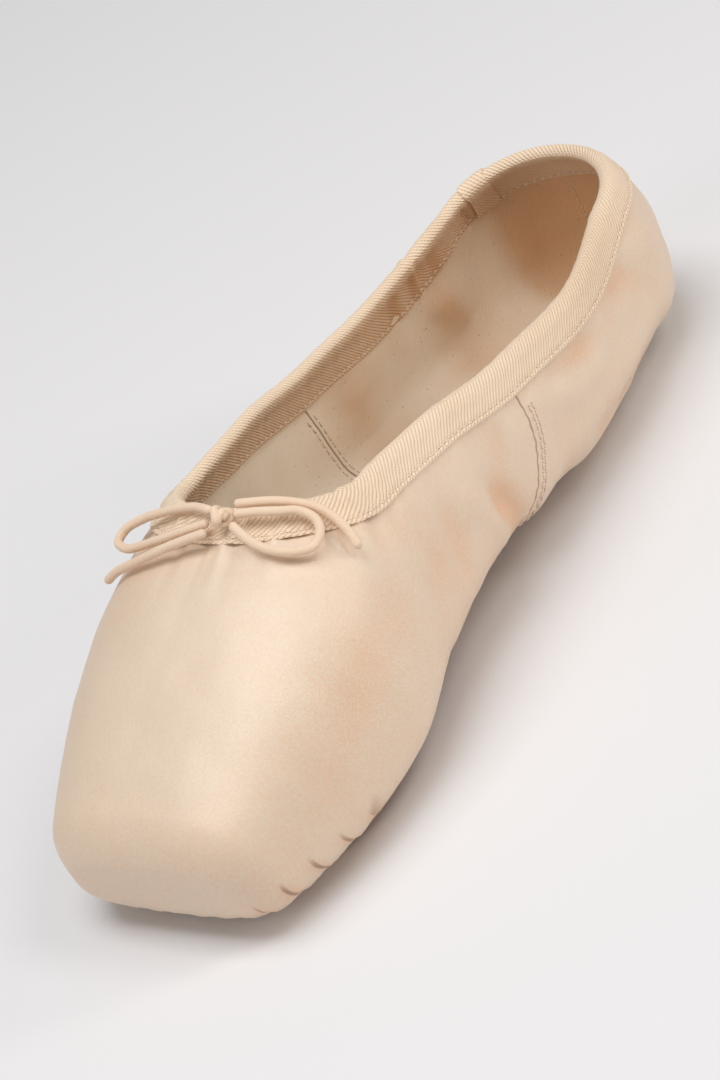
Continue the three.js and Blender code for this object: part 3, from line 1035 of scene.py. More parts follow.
SATIN = ClothFinish(
    "peach_satin",
    (0.78, 0.625, 0.475),
    (0.80, 0.43, 0.215),
    0.46,
    0.42,
    0.55,
    0.16,
    sheen=0.06,
    gloss=1.0,
    coat=0.42,
    thread_tone=0.2,
    cloud_tone=0.16,
    grain=1.0,
    metallic=0.05,
    seamed=True,
    pleated=True,
)
SATIN_TRIM = replace(SATIN, name="strip_satin", seamed=False, pleated=False)
TWILL = ClothFinish(
    "binding_twill",
    (0.97, 0.785, 0.59),
    (0.62, 0.37, 0.20),
    0.7,
    1.1,
    1.0,
    0.85,
    sheen=0.25,
    thread_tone=0.8,
    herringbone=1.0,
)
COTTON = ClothFinish(
    "lining_cotton",
    (1.0, 0.93, 0.79),
    (0.70, 0.43, 0.235),
    0.85,
    0.55,
    0.6,
    0.5,
    thread_tone=0.25,
    cloud_tone=0.12,
    speckle=0.35,
    seamed=True,
    dark_mark_and_shade=(0.24, 0.13, 0.07),
)
SOCK = replace(COTTON, name="sock_cotton", colour=(0.70, 0.53, 0.36), seamed=False)
CORD = ClothFinish(
    "bow_cord", (1.0, 0.78, 0.58), (0.92, 0.53, 0.32), 0.6, 0.55, 0.9, 0.6, sheen=0.4
)
THREAD = ClothFinish(
    "sewing_thread", (0.90, 0.74, 0.60), (0.72, 0.52, 0.38), 0.5, 0.3, 1.4, 0.4, thread_tone=0.6
)


@dataclass(frozen=True)
class NeedleHoles:
    """The shade in the holes where thread goes through cloth."""

    name: str = "needle_hole_shade"
    colour: Point = (0.20, 0.085, 0.045)
    cloth: Point = (0.40, 0.22, 0.13)

    def build(self) -> bpy.types.Material:
        """Makes the material.

        Returns:
            The material.
        """
        material, nodes, shader = new_material(self.name)
        place = nodes.add("ShaderNodeTexCoord").outputs["Object"]
        share = nodes.ramp(nodes.noise(place, 260, 2), 0.35, 0.65)
        nodes.feed(shader.inputs["Base Color"], nodes.mix(share, (*self.colour, 1), (*self.cloth, 1)))
        shader.inputs["Roughness"].default_value = 0.95
        shader.inputs["Specular IOR Level"].default_value = 0.1
        return material


@dataclass(frozen=True)
class LeatherFinish:
    """Buffed sole leather with a pale skived edge and scored arcs."""

    name: str = "sole_leather"
    colour: Point = (0.35, 0.145, 0.072)
    warm: Point = (0.44, 0.20, 0.105)
    dark: Point = (0.12, 0.042, 0.02)
    edge: Point = (0.66, 0.42, 0.26)
    arc_pitch: float = 4.6
    arc_width: float = 0.21
    bump: float = 0.4
    bump_depth: float = 0.0003

    def build(self) -> bpy.types.Material:
        """Makes the material.

        Returns:
            The material.
        """
        material, nodes, shader = new_material(self.name)
        place = nodes.add("ShaderNodeTexCoord").outputs["Object"]
        cloud = nodes.ramp(nodes.noise(place, 22, 5), 0.3, 0.75)
        grain = nodes.noise(place, 900, 3)
        nap = nodes.noise(place, 160, 4)
        tone = nodes.mix(cloud, (*self.colour, 1), (*self.warm, 1))
        tone = nodes.mix(nodes.math("MULTIPLY", grain, 0.22), tone, (*self.dark, 1))
        worn = nodes.math("MULTIPLY", nodes.ramp(nap, 0.55, 0.8), 0.16)
        tone = nodes.mix(worn, tone, (*self.edge, 1))
        wobble = nodes.math("MULTIPLY", nodes.math("SUBTRACT", nodes.noise(place, 60, 1), 0.5), 1.4)
        cut = None
        for arc in ("arc_left", "arc_right"):
            where = nodes.math("ADD", nodes.attribute(arc), wobble)
            gap = nodes.math("PINGPONG", where, self.arc_pitch / 2)
            line = thin_line(nodes, gap, self.arc_width)
            cut = line if cut is None else nodes.math("MAXIMUM", cut, line)
        cut = nodes.math("MULTIPLY", cut, nodes.attribute("hatch"))
        tone = nodes.mix(nodes.math("MULTIPLY", cut, 0.7), tone, (*self.dark, 1))
        rim = nodes.attribute("rim")
        pale = nodes.math("SUBTRACT", 1, nodes.ramp(rim, 0.1, 0.75))
        band = nodes.math("SUBTRACT", 1, nodes.ramp(rim, 3.0, 4.2))
        tone = nodes.mix(nodes.math("MULTIPLY", band, 0.14), tone, (*self.edge, 1))
        tone = nodes.mix(nodes.math("MULTIPLY", pale, 0.6), tone, (*self.edge, 1))
        nodes.feed(shader.inputs["Base Color"], tone)
        nodes.feed(shader.inputs["Roughness"], nodes.math("ADD", 0.5, nodes.math("MULTIPLY", grain, 0.2)))
        height = nodes.math("ADD", nodes.math("MULTIPLY", grain, 0.5), nodes.math("MULTIPLY", nap, 0.5))
        height = nodes.math("SUBTRACT", height, nodes.math("MULTIPLY", cut, 1.5))
        nodes.bump(shader, height, self.bump, self.bump_depth)
        shader.inputs["Specular IOR Level"].default_value = 0.35
        return material


# The drawstring's bow


BOW_KNOT: Point = (50.1, 4, 66.7)
BOW_STRANDS: dict[str, tuple[Point, ...]] = {
    "bow_loop_right": (
        (48.6, 0.8, 66.9),
        (47.4, -4, 66.9),
        (47, -9.5, 66.1),
        (47.1, -15.4, 64.9),
        (47.6, -21.6, 63.2),
        (49.4, -26.6, 61.4),
        (52, -27.6, 60),
        (53.9, -24, 59.9),
        (54, -17.4, 61.5),
        (53.4, -10, 63.5),
        (52.5, -4, 65),
        (51.2, 0.8, 65.8),
    ),
    "bow_end_right": (
        (53.6, 1.6, 65.3),
        (55, -2.6, 64.6),
        (56.2, -7.2, 63.6),
        (57.2, -12, 62.2),
        (57.9, -17, 60.4),
        (58, -22, 58.4),
        (57.8, -26.6, 56.2),
        (57.6, -31, 53.2),
    ),
    "bow_loop_left": (
        (49.3, 7.2, 66.8),
        (47.9, 12, 66.4),
        (46.3, 16.6, 65.4),
        (44.4, 21, 64),
        (44.8, 24.6, 62.2),
        (47, 26.4, 60.5),
        (50.2, 26, 59.3),
        (52.8, 23, 59.8),
        (54.2, 18.6, 61.1),
        (54.2, 14, 62.9),
        (53, 10.4, 64.6),
        (51.3, 7.2, 65.8),
    ),
    "bow_end_left": (
        (46.6, 6, 67.4),
        (45.5, 10.2, 67.1),
        (43.9, 14.6, 66.2),
        (42.3, 19, 64.5),
        (41.4, 23.4, 62.3),
        (41.9, 27.4, 59.5),
        (43.2, 30.6, 56.5),
        (44.8, 32.6, 54),
    ),
}


def curve_through(points: Array, step: float) -> Array:
    """Points a step apart on a smooth curve through given points.

    Args:
        points: (count, 3).
        step: millimetres between the new points.

    Returns:
        Points, (more, 3).
    """
    p = np.concatenate([[2 * points[0] - points[1]], points, [2 * points[-1] - points[-2]]])
    t = np.linspace(0, 1, 24, endpoint=False)[:, None]
    runs = []
    for a, b, c, d in zip(p, p[1:], p[2:], p[3:]):
        knots = np.cumsum([0, *(np.linalg.norm(v) ** 0.5 for v in (b - a, c - b, d - c))])
        t0, t1, t2, t3 = knots
        s = t1 + (t2 - t1) * t
        ab = a + (b - a) * (s - t0) / (t1 - t0)
        bc = b + (c - b) * (s - t1) / (t2 - t1)
        cd = c + (d - c) * (s - t2) / (t3 - t2)
        abc = ab + (bc - ab) * (s - t0) / (t2 - t0)
        bcd = bc + (cd - bc) * (s - t1) / (t3 - t1)
        runs.append(abc + (bcd - abc) * (s - t1) / (t2 - t1))
    fine = np.concatenate([*runs, p[-2:-1]])
    walked = walked_length(fine)
    count = max(int(round(walked[-1] / step)) + 1, 3)
    even = np.linspace(0, walked[-1], count)
    return at_length(fine, walked, even)


def tube_grid(path: Array, radius: Array | float, sides: int) -> Array:
    """Points of a tube along a path, facing out for laid_grid.

    Args:
        path: points, (count, 3).
        radius: one radius, or one at each point.
        sides: faces round the tube.

    Returns:
        Points, (sides + 1, count, 3).
    """
    way = unit(np.gradient(path, axis=0))
    side = unit(np.cross(way[0], [0.1, 0.3, 1.0]))
    frames = []
    for w in way:
        side = unit(side - (side @ w) * w)
        frames.append(side)
    side = np.array(frames)
    other = np.cross(way, side)
    turn = np.linspace(0, 2 * math.pi, sides + 1)[:, None, None]
    radius = np.broadcast_to(radius, (len(path),))[None, :, None]
    return path + radius * (np.cos(turn) * side + np.sin(turn) * other)


@dataclass
class DrawstringBow:
    """The bow of the drawstring at the throat."""

    diameter: float = 2.1
    sides: int = 14
    step: float = 0.45
    turn_radius: float = 0.92
    turn_swell: float = 0.05
    turn_lift: float = 0.35
    core_radius: float = 1.15
    knot: bpy.types.Object | None = None

    def strand(self, name: str, material: bpy.types.Material) -> bpy.types.Object:
        """Makes one strand as a tube of cord with rounded ends.

        Args:
            name: the strand of the part that it stands for.
            material: the cord's finish.

        Returns:
            The strand.
        """
        route = curve_through(np.array(BOW_STRANDS[name], float), self.step)
        length = float(np.linalg.norm(np.diff(route, axis=0), axis=1).sum())
        log.info("%s is %.1f mm long", name, length)
        along = np.linspace(0, length, len(route))
        nearest = np.minimum(along, length - along)
        blunt = np.sqrt(np.clip(1 - (1 - np.clip(nearest / (self.diameter / 2), 0, 1)) ** 2, 0.02, 1))
        grid = tube_grid(route, self.diameter / 2 * blunt, self.sides)
        around = np.linspace(0, math.pi * self.diameter, self.sides + 1)[:, None]
        uv = np.stack(np.broadcast_arrays(along[None, :], around), -1)
        tube = laid_grid(f"{name}_cord", grid, uv)
        close_grid()
        smooth(tube)
        dress(tube, material)
        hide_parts(name)
        return tube

    def build(self, material: bpy.types.Material) -> None:
        """Makes the knot and the four strands."""
        self.knot = self.knot_piece(material)
        for name in BOW_STRANDS:
            self.strand(name, material)

    def ring(self, name: str, centre: Array, size: tuple[float, float], lean: float) -> bpy.types.Object:
        """Makes one closed turn of cord round the strands.

        Args:
            name: its name.
            centre: its middle.
            size: its half width and half height.
            lean: its turn in radians.

        Returns:
            The turn of cord.
        """
        turn = np.linspace(0, 2 * math.pi, 49)
        across = size[0] * np.cos(turn)
        path = centre + np.stack(
            [
                across * math.cos(lean),
                across * math.sin(lean) + self.turn_lift * np.sin(2 * turn),
                size[1] * np.sin(turn),
            ],
            -1,
        )
        way = unit(np.roll(path[:-1], -1, 0) - np.roll(path[:-1], 1, 0))
        way = np.concatenate([way, way[:1]])
        side = unit(np.cross(way, unit(path - centre)))
        other = np.cross(side, way)
        around = np.linspace(0, 2 * math.pi, 13)[:, None, None]
        girth = self.turn_radius + self.turn_swell * np.sin(5 * turn)[None, :, None]
        grid = path + girth * (np.cos(around) * side + np.sin(around) * other)
        uv = np.stack(np.broadcast_arrays(turn[None, :] * size[0], around[..., 0]), -1)
        return laid_grid(name, grid, uv, ring=True)

    def knot_piece(self, material: bpy.types.Material) -> bpy.types.Object:
        """Makes the knot, two crossed turns of cord over a core.

        Args:
            material: the cord's finish.

        Returns:
            The knot.
        """
        centre = np.array(BOW_KNOT)
        first = self.ring("bow_knot_tied", centre + (0, -0.85, 0.05), (1.95, 1.5), 0.35)
        second = self.ring("bow_knot_turn", centre + (0.15, 0.95, -0.1), (1.7, 1.3), -0.5)
        route = curve_through(np.array([(0.2, -2.3, 0.1), (0, -1, 0.5), (0, 1, 0.4), (-0.1, 2.3, 0)]), 0.3)
        taper = np.sqrt(np.clip(1 - (np.linspace(-1, 1, len(route))) ** 4, 0.02, 1))
        grid = tube_grid(route + centre, self.core_radius * taper, 12)
        core = laid_grid("bow_knot_core", grid, grid_uv(grid))
        close_grid()
        activate(core, second, first)
        bpy.ops.object.join()
        bpy.ops.object.mode_set(mode="EDIT")
        bpy.ops.mesh.select_all(action="SELECT")
        bpy.ops.mesh.normals_make_consistent(inside=False)
        bpy.ops.object.mode_set(mode="OBJECT")
        smooth(first)
        dress(first, material)
        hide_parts("bow_knot")
        return first


# Lines sewn and folded into the upper


class Side(Enum):
    """The wearer's side of the shoe."""

    LEFT = 1
    RIGHT = -1


class Crease(NamedTuple):
    """A soft trough or ridge: points it runs through, half width and height (below 0 a trough)."""

    points: tuple[Point, ...]
    width: float
    height: float


CREASES = (
    Crease(((0.5, 32.6, 34), (-3, 32.4, 25), (-6.5, 31.9, 15)), 3.3, -1.5),
    Crease(((9, 34, 42), (5, 33.5, 32), (2, 33, 20)), 3.8, 0.7),
    Crease(((-14, 31, 44), (-9, 32, 36), (-6, 32, 30)), 3.0, -0.5),
    Crease(((29.7, 33.6, 39.7), (51.8, 36.7, 39.2), (75.3, 37.2, 30.7), (98.1, 32.7, 21.9)), 8, -0.65),
    Crease(((14, 33, 47), (16, 34, 37), (18, 35, 22)), 3.6, -0.6),
    Crease(((25, 34, 44), (27, 36, 34), (25, 37, 20)), 4.2, -0.35),
    Crease(((3, 33, 16), (-1, 33, 11)), 2.8, -0.7),
    Crease(((13, 34, 15), (9, 34, 10)), 2.6, -0.5),
    Crease(((-31, 30, 41), (-44, 29, 34), (-62, 28, 31)), 4.2, -0.9),
    Crease(((-28, 31, 34), (-43, 30, 27), (-60, 29, 24)), 4.2, 0.6),
    Crease(((-62, 29, 40), (-74, 27, 33), (-82, 25, 23)), 4.0, -0.9),
    Crease(((-78, 27, 39), (-88, 24, 31), (-95, 20, 22)), 4, 0.4),
    Crease(((-36, 31, 15), (-58, 30, 12), (-86, 24, 11)), 3.2, -0.55),
    Crease(((-42, 31, 21), (-65, 30, 18), (-90, 22, 17)), 3.8, 0.4),
    Crease(((-100, 15, 44), (-106, 11, 36), (-108, 9, 26)), 3.4, -0.35),
)
LINING_CREASES = (
    Crease(((-67, -28, 44), (-72, -28, 33), (-81, -26, 14)), 4.0, -2.0),
    Crease(((-84, -26, 44), (-88, -25, 32), (-93, -22, 14)), 6.5, 1.2),
    Crease(((-103, -20, 42), (-104, -20, 30), (-101, -20, 12)), 3.4, -1.2),
    Crease(((-34, -31, 42), (-38, -31, 30), (-36, -30, 14)), 5.5, -1.5),
    Crease(((-54, -29, 44), (-58, -29, 30), (-62, -28, 14)), 5.5, 1.2),
    Crease(((-10, -31, 40), (-8, -32, 28), (-6, -31, 15)), 6, 0.6),
    Crease(((-58, 27, 40), (-62, 27, 28), (-64, 26, 14)), 5, -0.8),
    Crease(((4, 32, 40), (8, 33, 28), (10, 32, 15)), 6, -0.7),
)
# Painted shade on the lining, deepest at the heel: a share at each x, from the heel to the toe.
LINING_PAINTED_SHADE = (
    (-115, 0.85),
    (-104, 0.7),
    (-99, 0.3),
    (-86, 0.28),
    (-76, 0.5),
    (-66, 0.2),
    (-56, 0.2),
    (-38, 0.42),
    (-22, 0.12),
    (0, 0.04),
    (60, 0),
)
# Where the side seam runs: x at a height, in millimetres.
SEAM_LINE = ((0, -3), (9, -6), (16.9, -10.7), (23.6, -15.8), (29.4, -19.5), (37.4, -21.6), (54, -23.8))
LINING_SEAM_LINE = (
    (0, -25), (15, -23.8), (19.4, -24), (26.5, -23), (34.6, -21.8), (43.8, -18.9), (56, -15)
)
# Headings of the toe pleats on one side, in degrees off the toe's middle.
PLEATS = (1.8, 6.4, 10.6, 15.3, 19.4, 24.2, 28.3, 33.1)


def nearest_on(points: Array, line: Array) -> tuple[Array, Array]:
    """How far points are from a line, and how far along it the nearest place is.

    Args:
        points: (..., 3).
        line: points close together, (count, 3).

    Returns:
        The distances and the lengths walked, each shaped as points without the last axis.
    """
    tree = KDTree(len(line))
    for i, p in enumerate(line.tolist()):
        tree.insert(p, i)
    tree.balance()
    walked = walked_length(line)
    found = [tree.find(p)[1:] for p in points.reshape(-1, 3).tolist()]
    index = np.array([f[0] for f in found])
    away = np.array([f[1] for f in found])
    return away.reshape(points.shape[:-1]), walked[index].reshape(points.shape[:-1])


def waves(points: Array, size: float, seed: int) -> Array:
    """Smooth unevenness between about -1 and 1, with bumps of about a size.

    Args:
        points: (..., dimensions).
        size: millimetres from bump to bump.
        seed: picks one pattern.

    Returns:
        One value for each point.
    """
    dice = np.random.default_rng(seed)
    ways = unit(dice.normal(size=(9, points.shape[-1])))
    total = np.zeros(points.shape[:-1])
    for way, pace, phase in zip(ways, dice.uniform(0.7, 1.5, 9), dice.uniform(0, 2 * math.pi, 9)):
        total += np.sin(points @ way * (2 * math.pi * pace / size) + phase)
    return total / 3.2


def ring_waves(along: Array, whole: float, size: float, seed: int) -> Array:
    """Unevenness along a closed line, between about -1 and 1, with no step where it closes.

    Args:
        along: millimetres walked.
        whole: the line's length.
        size: millimetres from bump to bump.
        seed: picks one pattern.

    Returns:
        One value for each place.
    """
    turn = along / whole * 2 * math.pi
    circle = np.stack([np.cos(turn), np.sin(turn)], -1) * whole / (2 * math.pi)
    return waves(circle, size, seed)


def rise_between(value: Array, low: float, high: float) -> Array:
    """0 below low, 1 above high, smooth between."""
    t = np.clip((value - low) / (high - low), 0, 1)
    return t * t * (3 - 2 * t)


def rise_at(value: float, low: float, high: float) -> float:
    """rise_between for one number."""
    return float(rise_between(np.array(value), low, high))


class Layer(Enum):
    """A layer of the upper's cloth."""

    SATIN = "satin"
    LINING = "lining"


@dataclass
class Relief:
    """How far the cloth stands off the last: creases, puckers, pleats and slow waves."""

    slow_waves: tuple[tuple[float, float, int], ...] = ((0.28, 19, 3), (0.09, 8, 8))
    # Share of painted shade for each millimetre of a crease's trough.
    crease_painted_shade: float = 0.3
    seam_pucker: float = 0.09
    seam_pitch: float = 2.7
    seam_groove: float = 0.3
    collar_pucker: float = 0.16
    throat_pucker: float = 0.34
    pleat_depth: float = 0.5
    pleat_top: float = 14.5
    pleat_slant: float = 7.5
    pleat_curl: float = 4.5
    pleat_foot: float = 2.0
    pleat_fade: float = 3.5
    # Share of painted shade beside the pleats' folds.
    pleat_painted_shade: float = 0.45
    binding: float = 8.5
    right_share: float = 0.8
    crease_share: float = 1.5
    lining_slack: float = 0.45
    thread_seat: float = 0.08

    def __post_init__(self) -> None:
        """Draws the collar's edge, the seam's curve and each crease's line."""
        columns = LAST.columns(60, 60, 40)
        edge = LAST.point(columns, LAST.collar_rise(columns))
        self.collar = curve_through(edge[:-1], 0.5)
        self.collar_length = 0.5 * len(self.collar)
        self.lining_painted_shade = level_curve(*zip(*LINING_PAINTED_SHADE))
        self.seam = {}
        for layer, line in ((Layer.SATIN, SEAM_LINE), (Layer.LINING, LINING_SEAM_LINE)):
            heights, places = zip(*line)
            self.seam[layer] = level_curve(heights, places)
        self.lines = {Layer.SATIN: [], Layer.LINING: []}
        for crease in CREASES:
            left = np.array(crease.points, float)
            right = left * (1, -1, 1) + (4, 0, -2)
            height = crease.height * self.crease_share
            self.draw(Layer.SATIN, left, crease.width, height)
            self.draw(Layer.SATIN, right, crease.width, height * self.right_share)
        for crease in LINING_CREASES:
            self.draw(Layer.LINING, np.array(crease.points, float), crease.width, crease.height)

    def draw(self, layer: Layer, line: Array, width: float, height: float) -> None:
        """Keeps a crease's line, laid onto the last, for its layer."""
        self.lines[layer].append((LAST.onto(curve_through(line, 0.8))[0], width, height))

    def folds(self, points: Array, layer: Layer) -> Array:
        """Height of a layer's creases at points on the last.

        Args:
            points: (..., 3).
            layer: satin or lining.

        Returns:
            Millimetres, below 0 in a trough.
        """
        total = np.zeros(points.shape[:-1])
        for line, width, depth in self.lines[layer]:
            low, high = line.min(0) - 3 * width, line.max(0) + 3 * width
            close = ((points > low) & (points < high)).all(-1)
            if close.any():
                away, walked = nearest_on(points[close], line)
                whole = 0.8 * (len(line) - 1)
                ends = np.sin(np.clip(walked / whole, 0.06, 0.94) * math.pi) ** 0.7
                total[close] += depth * ends * bell(away, width)
        return total

    def seam_gap(self, points: Array, layer: Layer = Layer.SATIN) -> Array:
        """Distance ahead of a layer's side seam, below 0 behind it.

        Args:
            points: (..., 3).
            layer: satin or lining.

        Returns:
            Millimetres.
        """
        z = points[..., 2]
        seam = self.seam[layer]
        return (points[..., 0] - seam(z)) / np.hypot(1, seam(z + 0.5) - seam(z - 0.5))

    def pleats(self, points: Array) -> tuple[Array, Array, Array]:
        """Where points lie among the toe's pleats, whose folds lean forward as they rise.

        Args:
            points: points on the last, (..., 3).

        Returns:
            The place counted in pleats, a whole number on a fold; the distance from the nearest
            fold in millimetres; and how open the pleats are there, from 0 to 1.
        """
        ahead = points[..., 0] - LAST.toe_fan
        reach = np.hypot(ahead, points[..., 1])
        z = points[..., 2]
        high = np.clip(z - self.pleat_foot, 0, None)
        lean = self.pleat_slant * (1 - np.exp(-high / self.pleat_curl)) / np.maximum(reach, 20)
        heading = np.abs(np.arctan2(points[..., 1], ahead))
        at = np.degrees(heading + lean)
        marks = np.array((PLEATS[0] - 4, *PLEATS, PLEATS[-1] + 5, PLEATS[-1] + 100))
        place = np.interp(at, marks, np.arange(len(marks)))
        nearest = np.round(place)
        gap = np.radians(at - np.interp(nearest, np.arange(len(marks)), marks)) * reach
        heading = np.degrees(heading)
        top = self.pleat_top + 1.2 * np.sin(heading * 1.7) - 5.5 * (1 - rise_between(heading, 11, 19))
        share = (1 - rise_between(z, top - self.pleat_fade, top)) * rise_between(ahead, 22, 40)
        share = share * (1 - rise_between(heading, 31, 36)) * rise_between(heading, 0.2, 1.4)
        return place, gap, share

    def height(self, points: Array) -> tuple[Array, Array]:
        """How far the cloth stands off the last, and the shade painted into its troughs and pleats.

        Args:
            points: points on the last, (..., 3).

        Returns:
            Millimetres along the normal, and a painted shade from 0 to 1.
        """
        drop, along = nearest_on(points, self.collar)
        free = rise_between(drop, self.binding - 4, self.binding + 3)
        total = self.folds(points, Layer.SATIN)
        soft = 1 - 0.65 * rise_between(points[..., 0], 30, 60)
        total += soft * sum(high * waves(points, size, seed) for high, size, seed in self.slow_waves)
        total *= free
        # Painted shade in the troughs of the creases.
        shade = np.clip(-total * self.crease_painted_shade, 0, 0.45)
        throat = rise_between(points[..., 0], 10, 34)
        size = self.collar_pucker + (self.throat_pucker - self.collar_pucker) * throat
        ripple = ring_waves(along, self.collar_length, 4.4, 21)
        total += size * ripple * np.exp(-np.clip(drop - self.binding + 1, 0, None) / (4 + 2 * throat))
        seam = self.seam_gap(points)
        stitched = bell(seam, 2.6)
        total += self.seam_pucker * stitched * np.cos(2 * math.pi * points[..., 2] / self.seam_pitch)
        total -= self.seam_groove * bell(seam, 0.7)
        _, gap, share = self.pleats(points)
        tooth = np.where(gap > 0, np.exp(-gap / 2.8), -0.5 * np.exp(gap / 1.1))
        low = 1 - 0.45 * rise_between(points[..., 2], 4, 9)
        total += self.pleat_depth * share * low * (tooth - 0.3)
        # Painted shade beside each pleat's fold.
        shade = shade + self.pleat_painted_shade * share * bell(gap, 1.3)
        return total, np.clip(shade, 0, 0.6)

    def lining_height(self, points: Array) -> tuple[Array, Array]:
        """How far the lining stands off the last, and the shade painted on it: softer than the satin's.

        Args:
            points: points on the last, (..., 3).

        Returns:
            Millimetres along the normal, and a shade from 0 to 1.
        """
        height, shade = self.height(points)
        drop = nearest_on(points, self.collar)[0]
        height = height * 0.75 * (1 - self.pleats(points)[2])
        slack = self.lining_slack * (1 - rise_between(points[..., 0], 10, 30))
        folds = np.minimum(self.folds(points, Layer.LINING), slack) - slack
        folds *= rise_between(drop, 13, 20)
        # Painted shade along the lining, deeper in its folds' troughs, and painted light on their ridges.
        tone = self.lining_painted_shade(points[..., 0]) - 0.1 * folds
        return height + folds, np.clip(shade * 0.4 + tone, 0, 0.9)

    def lining_face(self, points: Array) -> Array:
        """How far the lining's seen face stands off the last, with the seat of a thread on it."""
        return self.lining_height(points)[0] - LAST.wall(points[..., 0]) + self.thread_seat


class Run(NamedTuple):
    """A line that a row of stitches follows, with the cloth's outward normals."""

    points: Array
    normals: Array


@dataclass
class Stitches:
    """Rows of thread stitches, with discs of painted shade at their needle holes, joined in two meshes."""

    length: float = 1.5
    pitch: float = 2.15
    thread: float = 0.42
    hole: float = 0.3
    hole_lift: float = 0.05
    rise: float = 0.55
    sink: float = 1.5
    taper: float = 0.45
    sides: int = 6
    sections: int = 5
    runs: list[Run] = field(default_factory=list)

    def add(self, points: Array, normals: Array) -> None:
        """Adds a row along points."""
        self.runs.append(Run(points, normals))

    def places(self, run: Run) -> tuple[Array, Array, Array]:
        """Points, normals and ways of every section of a row's stitches.

        Args:
            run: the row.

        Returns:
            Three arrays, (stitches, sections, 3).
        """
        walked = walked_length(run.points)
        count = max(int((walked[-1] - self.length) / self.pitch), 1)
        middle = (np.arange(count) + 0.5) * walked[-1] / count
        at = middle[:, None] + np.linspace(-0.5, 0.5, self.sections) * self.length
        point = at_length(run.points, walked, at)
        normal = unit(at_length(run.normals, walked, at))
        way = unit(np.gradient(point, axis=1))
        return point, normal, way

    def build(self, name: str, thread: bpy.types.Material, hole: bpy.types.Material, slot: str) -> None:
        """Makes the threads and the discs of painted shade at their holes.

        Args:
            name: the pieces' name.
            thread: the thread's material.
            hole: the material of the painted shade at the holes.
            slot: not used.
        """
        rings, spans, discs = [], [], []
        share = np.linspace(-1, 1, self.sections)
        radius = self.thread / 2
        turn = np.linspace(0, 2 * math.pi, self.sides, endpoint=False)
        for run in self.runs:
            point, normal, way = self.places(run)
            side = unit(np.cross(way, normal))
            lift = radius * (self.rise - self.sink * share**4)
            centre = point + normal * lift[None, :, None]
            girth = radius * (1 - self.taper * share**4)[None, :, None, None]
            spoke = np.cos(turn)[:, None] * side[:, :, None] + np.sin(turn)[:, None] * normal[:, :, None]
            rings.append((centre[:, :, None] + girth * spoke).reshape(-1, 3))
            along = (share * self.length / 2)[None, :, None]
            around = (turn / (2 * math.pi) * 1.3)[None, None, :]
            spans.append(np.stack(np.broadcast_arrays(along + np.zeros((len(point), 1, 1)), around), -1))
            for end in (0, -1):
                ring = np.cos(turn)[:, None] * side[:, None, end]
                ring = ring + np.sin(turn)[:, None] * way[:, None, end]
                seat = point[:, None, end] + normal[:, None, end] * self.hole_lift
                flat = seat + ring * self.hole / 2
                discs.append(flat.reshape(-1, 3))
        self.joined(name, np.concatenate(rings), np.concatenate(spans, 0).reshape(-1, 2), thread, slot)
        flat = np.concatenate(discs)
        corners = np.arange(len(flat)).reshape(-1, self.sides)
        # Painted shade: a dark disc at each needle hole.
        self.mesh(f"{name}_painted_hole_shade", flat, corners[:, ::-1], np.zeros((len(flat), 2)), hole, slot)

    def joined(self, name: str, points: Array, uv: Array, material: bpy.types.Material, slot: str) -> None:
        """Joins rings of points into closed threads.

        Args:
            name: the piece's name.
            points: sections of every stitch, in order.
            uv: cloth coordinates.
            material: the thread's finish.
            slot: not used.
        """
        per = self.sections * self.sides
        first = np.arange(0, len(points), per)[:, None, None]
        ring = np.arange(self.sections - 1)[None, :, None] * self.sides
        step = np.arange(self.sides)
        after = (step + 1) % self.sides
        quads = np.stack(
            [
                first + ring + step,
                first + ring + self.sides + step,
                first + ring + self.sides + after,
                first + ring + after,
            ],
            -1,
        ).reshape(-1, 4)
        start = first[:, 0] + step
        stop = start + per - self.sides
        faces = [*quads.tolist(), *start.tolist(), *stop[:, ::-1].tolist()]
        piece = self.mesh(name, points, faces, uv, material, slot)
        smooth(piece, 80)

    def mesh(
        self, name: str, points: Array, faces: Sequence, uv: Array, material: bpy.types.Material, slot: str
    ) -> bpy.types.Object:
        """Makes one object of many small parts.

        Args:
            name: the piece's name.
            points: corners in millimetres.
            faces: corner numbers of each face.
            uv: cloth coordinates of each corner.
            material: the finish.
            slot: not used.

        Returns:
            The dressed piece.
        """
        mesh = bpy.data.meshes.new(name)
        mesh.from_pydata((points * MM).tolist(), [], [list(f) for f in faces])
        layer = mesh.uv_layers.new(name="cloth")
        corner = np.zeros(len(mesh.loops), np.int32)
        mesh.loops.foreach_get("vertex_index", corner)
        layer.data.foreach_set("uv", uv[corner].astype(np.float32).ravel())
        mesh.validate()
        mesh.update()
        piece = bpy.data.objects.new(name, mesh)
        bpy.context.collection.objects.link(piece)
        return dress(piece, material)


# Upper


